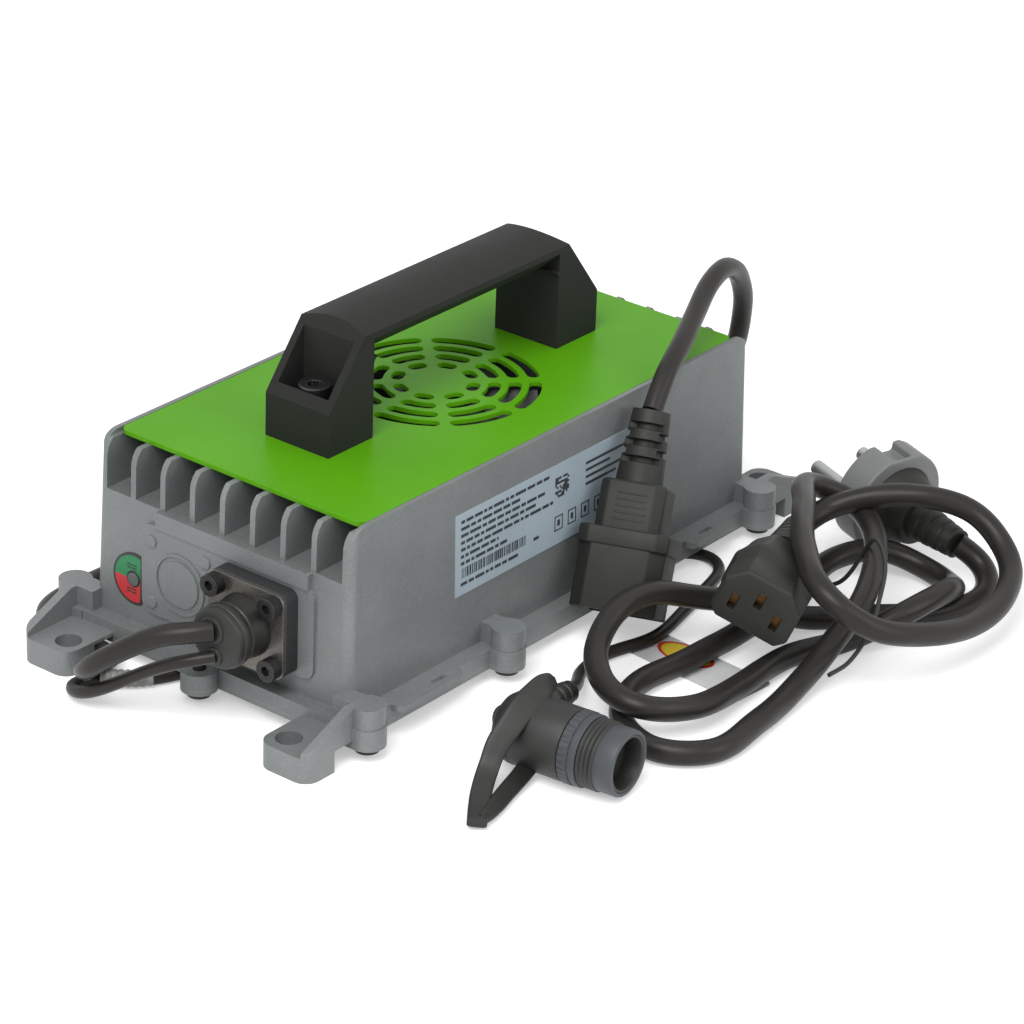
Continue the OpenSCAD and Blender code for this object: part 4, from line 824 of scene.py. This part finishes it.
class CHARGER_OT_inner(bpy.types.Operator):
    """Give the board and what it carries their finishes"""
    bl_idname = "charger.inner"
    bl_label = "Inner parts"

    def execute(self, context):
        board = finish_of("circuit_board", paint("1d5a36"), paint("174c2d"), paint("b9a46a"),
                          (0.35, 0.5), patches=120, grain=500, grain_share=0.25, depth=0.01)
        looks = {
            "main_board": board, "led_board": board, "board_screws": plated_steel(),
            "transformer": finish_of("taped_winding", paint("6b5330"), paint("3b3a38"), None,
                                     (0.4, 0.6), patches=60),
            "pfc_choke": finish_of("copper_winding", paint("a8622c"), paint("7d441c"), None,
                                   (0.25, 0.45), metal=0.5, patches=180),
            "output_choke": finish_of("choke_moulding", paint("55503f"), None, None, (0.5, 0.7)),
            "bulk_capacitors": finish_of("can_sleeve", paint("232c44"), None, None, (0.25, 0.35)),
            "thermal_pads": finish_of("heat_pad", paint("9ea8ad"), None, None, (0.7, 0.9)),
            "power_transistors": finish_of("device_moulding", paint("242424"), None, None,
                                           (0.5, 0.7)),
            "clamp_bars": finish_of("bar_aluminium", paint("b5b7b8"), None, None, (0.3, 0.45),
                                    metal=0.9),
        }
        for node, look in looks.items():
            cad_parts[node].data.materials[0] = look
        return {"FINISHED"}


class CHARGER_OT_cords(bpy.types.Operator):
    """Make the mains pigtail, the battery lead and the separate mains lead"""
    bl_idname = "charger.cords"
    bl_label = "Cords"

    def execute(self, context):
        sizes = context.scene.charger_sizes
        for name, node, points, d, lobes in (
                ("pigtail_cord", "ac_cord", PIGTAIL, sizes.pigtail, 3),
                ("battery_cord", "dc_cord", BATTERY, sizes.battery, 2),
                ("mains_lead_cord", "mains_cord", LEAD, sizes.lead, 3)):
            route = eased(smooth_line(points, 2.0))
            cord = solid(name, [tube(route, d / MM / 2, 24, fluted(sizes.fluting, lobes))],
                         jacket_finish(), smooth=60)
            place_piece(cord, node, node)
        route = eased(smooth_line(BATTERY, 1.0), 12)
        inside = ((route[:, 0] < -107) & (route[:, 0] > -120) & (route[:, 1] < 28)
                  & (route[:, 2] < 2.6))
        part = route[np.argmax(inside):len(inside) - np.argmax(inside[::-1])] + [0, 0, 0.75]
        part = smooth_line(part[::3], 0.4)
        sleeve = finish_of("sleeve_film", paint("9c9f9b"), paint("6f726e"), None, (0.25, 0.4),
                           patches=260)
        sleeve = solid("battery_sleeve", [tube(part, 2.75, 28, lambda a, s: 1 - 0.1 * (
            np.sin(2 * np.pi * s / 2.1) > 0.2))], sleeve, smooth=50)
        place_piece(sleeve, "dc_cord")
        route = smooth_line(TIE, 1.0)
        tie = solid("wire_tie", [tube(route, sizes.tie / MM / 2, 10)], rubber_finish(), smooth=60)
        place_piece(tie, "twist_tie", "twist_tie")
        return {"FINISHED"}


class CHARGER_OT_inline_plug(bpy.types.Operator):
    """Make the pigtail's inline plug with its pins"""
    bl_idname = "charger.inline_plug"
    bl_label = "Inline plug"

    def execute(self, context):
        shroud = coupler(27, 21, 4.4, 1.4)
        body = [(17, 1.9), (17.2, 1.8), (0.5, 1.8), (0.15, 1.65), (0, 1.35), (0, 0.5), (0.15, 0.15),
                (0.5, 0), (20, 0), (20.2, 0.2), (20.4, 0.6)]
        shells = [lofted(shroud, [(17, 6.0)] + body, INLINE)]
        shells.append(lofted(coupler(28.6, 21.8, 3.6, 1.8), soft_edge(19.4, 25.2, 0.7), INLINE))
        shells.append(lofted(coupler(20.6, 17, 3.0, 2.0),
                             [(24, 0)] + soft_edge(24.2, 40, 1.2, 4)[4:], INLINE))
        for k in range(5):
            z = 28.2 + 2.0 * k
            bar = (INLINE[0] + INLINE[1] @ np.array([0.6, -8.5, z]), INLINE[1])
            shells.append(lofted(slab(9.4, 0.5, 0.2), [(-0.3, 0), (0.3, 0)], bar))
        z = np.linspace(39.6, INLINE_LENGTH, 110)
        share = (z - 39.6) / (INLINE_LENGTH - 39.6)
        profile = np.column_stack([7.4 - 1.5 * share, z])

        def slots(t, z):
            """Cuts from the front and from the sides in turn, each where the height's sine is
            over 0.35; the last 4 mm and the first 6 mm stay whole."""
            w = 2 * np.pi * (z - 45.6) / 5.2
            row = np.clip((np.sin(w) - 0.35) / 0.25, 0, 1) * (z > 45.6) * (z < 58.6)
            other = np.clip((np.sin(w + np.pi) - 0.35) / 0.25, 0, 1) * (z > 45.6) * (z < 58.6)
            front = np.clip((np.abs(np.sin(t)) - 0.5) / 0.1, 0, 1)
            side = np.clip((np.abs(np.cos(t)) - 0.72) / 0.1, 0, 1)
            return 1 - 0.34 * np.maximum(row * front, other * side)
        shells.append(turned_shell(profile, INLINE, 96, slots))
        plug = solid("inline_plug", shells, moulding_finish())
        place_piece(plug, "ac_plug", "ac_plug")
        pins = [lofted(slab(2, 4, 0.3), soft_edge(17.4, 4.2, 0.5),
                       (INLINE[0] + INLINE[1] @ np.array([x, y, 0.0]), INLINE[1]))
                for x, y in ((-7, 2), (7, 2), (0, -2))]
        place_piece(solid("inline_pins", pins, plated_steel()), "ac_plug_pins", "ac_plug_pins")
        return {"FINISHED"}


class CHARGER_OT_lead_socket(bpy.types.Operator):
    """Make the mains lead's appliance connector with its contacts"""
    bl_idname = "charger.lead_socket"
    bl_label = "Lead connector"

    def execute(self, context):
        front = eight_sided(25.6, 18.4, 2.8, 5.6, 1.8)
        rear = eight_sided(20.5, 17, 4.6, 5.0, 2.4)
        stations = [(0, 1.3, 0), (0.25, 0.6, 0), (0.8, 0.15, 0), (1.5, 0, 0), (9, 0.2, 0),
                    (12, 0.5, 0), (14.5, 0.3, 0.1), (17, -0.8, 0.2), (19.5, -1.5, 0.4),
                    (22.5, -1.4, 0.7), (27, -1.0, 0.95), (32, -0.4, 1), (35.6, 0.4, 1),
                    (37.2, 1.6, 1), (38, 3.4, 1)]
        body = blended(front, rear, stations, SOCKET)
        neck = np.linspace(37, SOCKET_LENGTH, 90)
        share = (neck - 37) / (SOCKET_LENGTH - 37)
        profile = np.column_stack([8.6 - 3.9 * share ** 0.7, neck])

        def ribs(t, z):
            """Ribs of the neck: a ring groove at each turn of the height's sine."""
            w = 2 * np.pi * (z - 40) / 4.4
            return 1 - 0.10 * np.clip(np.sin(w) * 2, 0, 1) * (z > 40)
        socket = solid("lead_connector", [body], moulding_finish())
        neck = solid("lead_connector_neck", [turned_shell(profile, SOCKET, 64, ribs)],
                     moulding_finish())
        place_piece(neck, "lead_socket", "lead_socket")
        cutters = []
        for x, y in ((-7, 2), (7, 2), (0, -2)):
            at = (SOCKET[0] + SOCKET[1] @ np.array([x, y, 0.0]), SOCKET[1])
            cutters.append(lofted(slab(2.6, 5.0, 0.3), [(-2, 0), (14, 0)], at))
        cutter = solid("cutter", cutters, moulding_finish())
        cut = socket.modifiers.new("slots", "BOOLEAN")
        cut.operation, cut.solver, cut.object = "DIFFERENCE", "EXACT", cutter
        bpy.context.view_layer.update()
        done = bpy.data.meshes.new_from_object(
            socket.evaluated_get(bpy.context.evaluated_depsgraph_get()))
        socket.modifiers.clear()
        done.set_sharp_from_angle(angle=math.radians(35))
        socket.data = done
        bpy.data.objects.remove(cutter)
        place_piece(socket, "lead_socket", "lead_socket")
        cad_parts["lead_contacts"].data.materials[0] = brass_finish()
        return {"FINISHED"}


class CHARGER_OT_battery_connector(bpy.types.Operator):
    """Make the battery lead's right-angle connector with its rings and pull loop"""
    bl_idname = "charger.battery_connector"
    bl_label = "Battery connector"

    def execute(self, context):
        c = context.scene.charger_colours
        barrel = finish_of("barrel_moulding", c.barrel, None, None, (0.45, 0.58), grain=2000,
                           depth=0.02)
        ring = finish_of("ring_moulding", c.ring, None, None, (0.45, 0.58), grain=2000, depth=0.02)
        front = finish_of("front_moulding", c.front, None, None, (0.42, 0.55), grain=2000,
                          depth=0.02)
        shell = [[9.8, 4.2], [10.8, 4.6], [11, 5.2], [11, 21.2], [10.8, 21.7], [10.2, 22]]
        piece = solid("connector_shell", [turned_shell(shell, CONNECTOR)], barrel)
        place_piece(piece, "connector_barrel", "connector_barrel")
        steps = [[8.2, 22], [10.7, 22], [11, 22.3], [11, 25.2], [10.6, 25.4], [10.6, 25.8],
                 [10.9, 26], [10.9, 27.4], [10.6, 27.8], [8.2, 27.8]]
        grip = turned_shell(steps, CONNECTOR, 144, lambda t, z: 1 + 0.010 * np.sign(
            np.sin(36 * t)) * (z > 22.1) * (z < 25.3))
        z = np.linspace(27.6, 33.4, 60)
        thread = np.column_stack([10.0 + 0.45 * np.abs(np.sin(np.pi * (z - 27.6) / 1.45)), z])
        thread = np.vstack([[[8.2, 27.6]], thread, [[8.2, 33.4]]])
        rim = [[8.6, 33.2], [9.8, 33.2], [10, 33.5], [10, 39.0], [9.8, 39.5], [9.4, 39.7],
               [8.9, 39.7], [8.7, 39.5], [8.6, 39.1], [8.6, 33.3]]
        lining = [[8.7, 33.4], [8.7, 39.2], [8.5, 39.4], [7.9, 39.3], [7.6, 38.8], [7.6, 34.4],
                  [7.6, 33.4]]
        ring_piece = solid("grip_ring", [grip], ring)
        place_piece(ring_piece, "connector_rings", "connector_rings")
        thread_piece = solid("thread_ring", [turned_shell(thread, CONNECTOR),
                                             turned_shell(lining, CONNECTOR)], barrel)
        place_piece(thread_piece, "connector_rings", "connector_rings")
        front_piece = solid("front_ring", [turned_shell(rim, CONNECTOR)], front)
        place_piece(front_piece, "connector_rings", "connector_rings")
        softened("insert_moulding", "connector_insert", 0.3, barrel)
        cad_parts["connector_contacts"].data.materials[0] = brass_finish()
        cap = [[1.5, -3.4], [4.5, -3.1], [7, -2.2], [8.8, -1], [10, 0.6], [10.7, 2.2],
               [11, 3.4], [11.1, 4.6], [11, 5.0], [9.0, 5]]
        shells = [turned_shell(cap, CONNECTOR)]
        start, end = np.array([-71, -88.4, 10.9]), np.array([-41, -87, 9])
        arm = stand(start, end)
        z = np.linspace(0, float(np.linalg.norm(end - start)), 70)
        share = z / z[-1]
        profile = np.column_stack([6.2 - 2.8 * share, z])
        shells.append(turned_shell(profile, arm, 56, lambda t, z: 1 - 0.09 * np.clip(
            2 * np.sin(2 * np.pi * (z - 14) / 3.6), 0, 1) * (z > 14)))
        for points, at, width in ((STRAP, [0, 0.03, 0.1, 0.24, 0.42, 0.6, 0.8, 1],
                                   [3, 6, 7.2, 8.2, 7.2, 6.2, 6.2, 5.8]),
                                  (STRAP_BACK, [0, 0.3, 1], [3.6, 5.2, 5.8])):
            route = smooth_line(points, 0.8)
            width = np.interp(np.linspace(0, 1, len(route)), at, width)
            shells.append(strap(route, width, 3.0, TOWARDS_CAMERA))
        piece = solid("connector_rubber", shells, rubber_finish())
        place_piece(piece, "connector_boot", "connector_boot")
        return {"FINISHED"}


class CHARGER_OT_wall_plug(bpy.types.Operator):
    """Make the mains lead's wall plug with its pins"""
    bl_idname = "charger.wall_plug"
    bl_label = "Wall plug"

    def execute(self, context):
        pale = finish_of("plug_insert", paint("7c7e7e"), None, None, (0.42, 0.55), grain=2000,
                         depth=0.02)
        softened("plug_insert", "plug_face", 0.8, pale, segments=3)
        rear = WALL_LENGTH - 11
        profile = [[5, -0.5], [8.2, -0.2], [9, 0.6], [9.6, 2.5], [11.2, 5.5], [12.4, rear - 1.5],
                   [13, rear - 0.3], [13, rear]]
        tail = stand([109, -124, 14], [112.4, -107.5, 15.6])
        z = np.linspace(0, 17.2, 70)
        ribs = np.column_stack([4.8 + 1.7 * z / 17.2, z])
        shells = [turned_shell(profile, WALL_PLUG, 80),
                  turned_shell(ribs, tail, 56, lambda t, z: 1 - 0.1 * np.clip(
                      2 * np.sin(2 * np.pi * z / 3.8), 0, 1) * (z < 14))]
        body = solid("plug_rear", shells, moulding_finish())
        place_piece(body, "plug_body", "plug_body")
        softened("plug_pins_round", "plug_pins", 0.9, plated_steel(), segments=3)
        return {"FINISHED"}


class CHARGER_OT_flag(bpy.types.Operator):
    """Finish the film tag on the mains lead and print its oval"""
    bl_idname = "charger.flag"
    bl_label = "Flag"

    def execute(self, context):
        c = context.scene.charger_colours
        film = finish_of("flag_film", c.tag, None, None, (0.35, 0.5), patches=40, depth=0.004)
        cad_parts["cord_flag"].data.materials[0] = film
        place = (np.array([13.6, -89.5, 0.2]), turned(85, 2))
        for name, code, inner, outer in (("tag_oval", c.tag_oval, 0.01, 0.86),
                                         ("tag_oval_rim", c.tag_rim, 0.86, 1.0)):
            tone = finish_of(name + "_print", code, None, None, (0.35, 0.5), depth=0.004)
            oval = solid(name, [sector(inner, outer, (0, 360), 0.06, place,
                                       squash=(10.5, 5.6), steps=65)], tone)
            place_piece(oval, "cord_flag")
        return {"FINISHED"}


class CHARGER_OT_declare(bpy.types.Operator):
    bl_idname = "charger.declare"
    bl_label = "Declare the cords"

    def execute(self, context):
        sizes = context.scene.charger_sizes
        find = bpy.data.objects.get
        for name, points, d, end, pieces in (
                ("pigtail_cord", PIGTAIL, sizes.pigtail, "plug", ["inline_plug", "inline_pins"]),
                ("battery_cord", BATTERY, sizes.battery, "connector",
                 ["battery_sleeve", "connector_shell", "grip_ring", "thread_ring", "front_ring",
                  "connector_rubber", "insert_moulding", "connector_contacts"]),
                ("mains_lead_cord", LEAD, sizes.lead, "connector",
                 ["lead_connector", "lead_connector_neck", "lead_contacts", "plug_insert",
                  "plug_rear", "plug_pins_round", "wire_tie", "cord_flag", "tag_oval",
                  "tag_oval_rim"])):
            route = eased(smooth_line(points, 2.0)) * MM
            find(name)
            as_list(pieces)
        return {"FINISHED"}


def axes_at(place, x, y, z):
    """The matrix of an object at a place with these three axes."""
    return Matrix([[*row, p] for row, p in zip(np.column_stack([x, y, z]).tolist(), place)]
                  + [[0, 0, 0, 1]])


def seen_directly(tree):
    """One for the rays that the camera, a shiny surface or a clear body sends out."""
    path = tree.nodes.new("ShaderNodeLightPath").outputs
    both = maths(tree, "MAXIMUM", path["Is Camera Ray"], path["Is Glossy Ray"])
    return maths(tree, "MAXIMUM", both, path["Is Transmission Ray"])


class CHARGER_OT_stage(bpy.types.Operator):
    """Make the photograph's camera, the pale floor and the soft studio light"""
    bl_idname = "charger.stage"
    bl_label = "Stage"

    def execute(self, context):
        st = context.scene.charger_stage
        scene = context.scene
        az, el, roll = st.azimuth, st.elevation, st.roll
        back = np.array([math.sin(az) * math.cos(el), -math.cos(az) * math.cos(el), math.sin(el)])
        right = unit(np.cross([0, 0, 1.0], back))
        up = np.cross(back, right)
        r2 = math.cos(roll) * right + math.sin(roll) * up
        u2 = -math.sin(roll) * right + math.cos(roll) * up
        camera = bpy.data.objects.new("camera", bpy.data.cameras.new("camera"))
        scene.collection.objects.link(camera)
        camera.matrix_world = axes_at(st.place, r2, u2, back)
        camera.data.lens = st.lens
        camera.data.sensor_width = 36
        camera.data.clip_end = 20
        scene.camera = camera

        floor = bpy.data.meshes.new("floor")
        s = 4.0
        floor.from_pydata([(-s, -s, 0), (s, -s, 0), (s, s, 0), (-s, s, 0)], [], [(0, 1, 2, 3)])
        white = bpy.data.materials.new("floor_white")
        white.use_nodes = True
        shader = white.node_tree.nodes["Principled BSDF"]
        shader.inputs["Base Color"].default_value = (0.93, 0.93, 0.93, 1)
        shader.inputs["Roughness"].default_value = 0.9
        shader.inputs["Specular IOR Level"].default_value = 0.1
        shader.inputs["Emission Color"].default_value = (1, 1, 1, 1)
        white.node_tree.links.new(
            maths(white.node_tree, "MULTIPLY", seen_directly(white.node_tree), st.floor_glow),
            shader.inputs["Emission Strength"])
        floor.materials.append(white)
        ground = bpy.data.objects.new("floor", floor)
        scene.collection.objects.link(ground)

        world = bpy.data.worlds.new("studio")
        world.use_nodes = True
        tree = world.node_tree
        tree.nodes.clear()
        sky = node_in(tree, "ShaderNodeBackground", {"Color": (1, 1, 1, 1), "Strength": st.sky})
        seen = node_in(tree, "ShaderNodeBackground", {"Color": (1, 1, 1, 1), "Strength": 1.0})
        mix = tree.nodes.new("ShaderNodeMixShader")
        out = tree.nodes.new("ShaderNodeOutputWorld")
        tree.links.new(seen_directly(tree), mix.inputs[0])
        tree.links.new(sky.outputs[0], mix.inputs[1])
        tree.links.new(seen.outputs[0], mix.inputs[2])
        tree.links.new(mix.outputs[0], out.inputs[0])
        scene.world = world

        for name, place, size, power in (
                ("key_lamp", (-0.9, -0.35, 1.25), 0.9, st.key),
                ("fill_lamp", (0.25, -1.4, 0.8), 1.0, st.fill)):
            lamp = bpy.data.lights.new(name, "AREA")
            lamp.shape, lamp.size, lamp.energy = "SQUARE", size, power
            obj = bpy.data.objects.new(name, lamp)
            scene.collection.objects.link(obj)
            z = unit(np.array(place) - np.array([0, 0, 0.04]))
            x = unit(np.cross([0, 0, 1.0], z))
            obj.matrix_world = axes_at(place, x, np.cross(z, x), z)
        scene.view_settings.view_transform = "Standard"
        return {"FINISHED"}


class CHARGER_PT_panel(bpy.types.Panel):
    """The charger's pieces, sizes and colours"""
    bl_idname = "CHARGER_PT_panel"
    bl_label = "Battery charger"
    bl_space_type = "VIEW_3D"
    bl_region_type = "UI"
    bl_category = "Charger"

    def draw(self, context):
        for step in STEPS:
            self.layout.operator(step.bl_idname)
        for settings in (context.scene.charger_sizes, context.scene.charger_colours,
                         context.scene.charger_stage):
            box = self.layout.box()
            for key in settings.__annotations__:
                box.prop(settings, key)


STEPS = [CHARGER_OT_stage, CHARGER_OT_casing, CHARGER_OT_top, CHARGER_OT_handle,
         CHARGER_OT_gland, CHARGER_OT_labels, CHARGER_OT_inner, CHARGER_OT_cords,
         CHARGER_OT_inline_plug, CHARGER_OT_lead_socket, CHARGER_OT_battery_connector,
         CHARGER_OT_wall_plug, CHARGER_OT_flag, CHARGER_OT_declare]
CLASSES = [ChargerColours, ChargerSizes, ChargerStage, *STEPS, CHARGER_PT_panel]


def register():
    for kind in CLASSES:
        bpy.utils.register_class(kind)
    bpy.types.Scene.charger_colours = PointerProperty(type=ChargerColours)
    bpy.types.Scene.charger_sizes = PointerProperty(type=ChargerSizes)
    bpy.types.Scene.charger_stage = PointerProperty(type=ChargerStage)


def unregister():
    for name in ("charger_colours", "charger_sizes", "charger_stage"):
        delattr(bpy.types.Scene, name)
    for kind in reversed(CLASSES):
        bpy.utils.unregister_class(kind)


def main():
    """Makes every piece in order."""
    register()
    for step in STEPS:
        group_name, step_name = step.bl_idname.split(".")
        getattr(getattr(bpy.ops, group_name), step_name)()


if __name__ == "__main__":
    main()
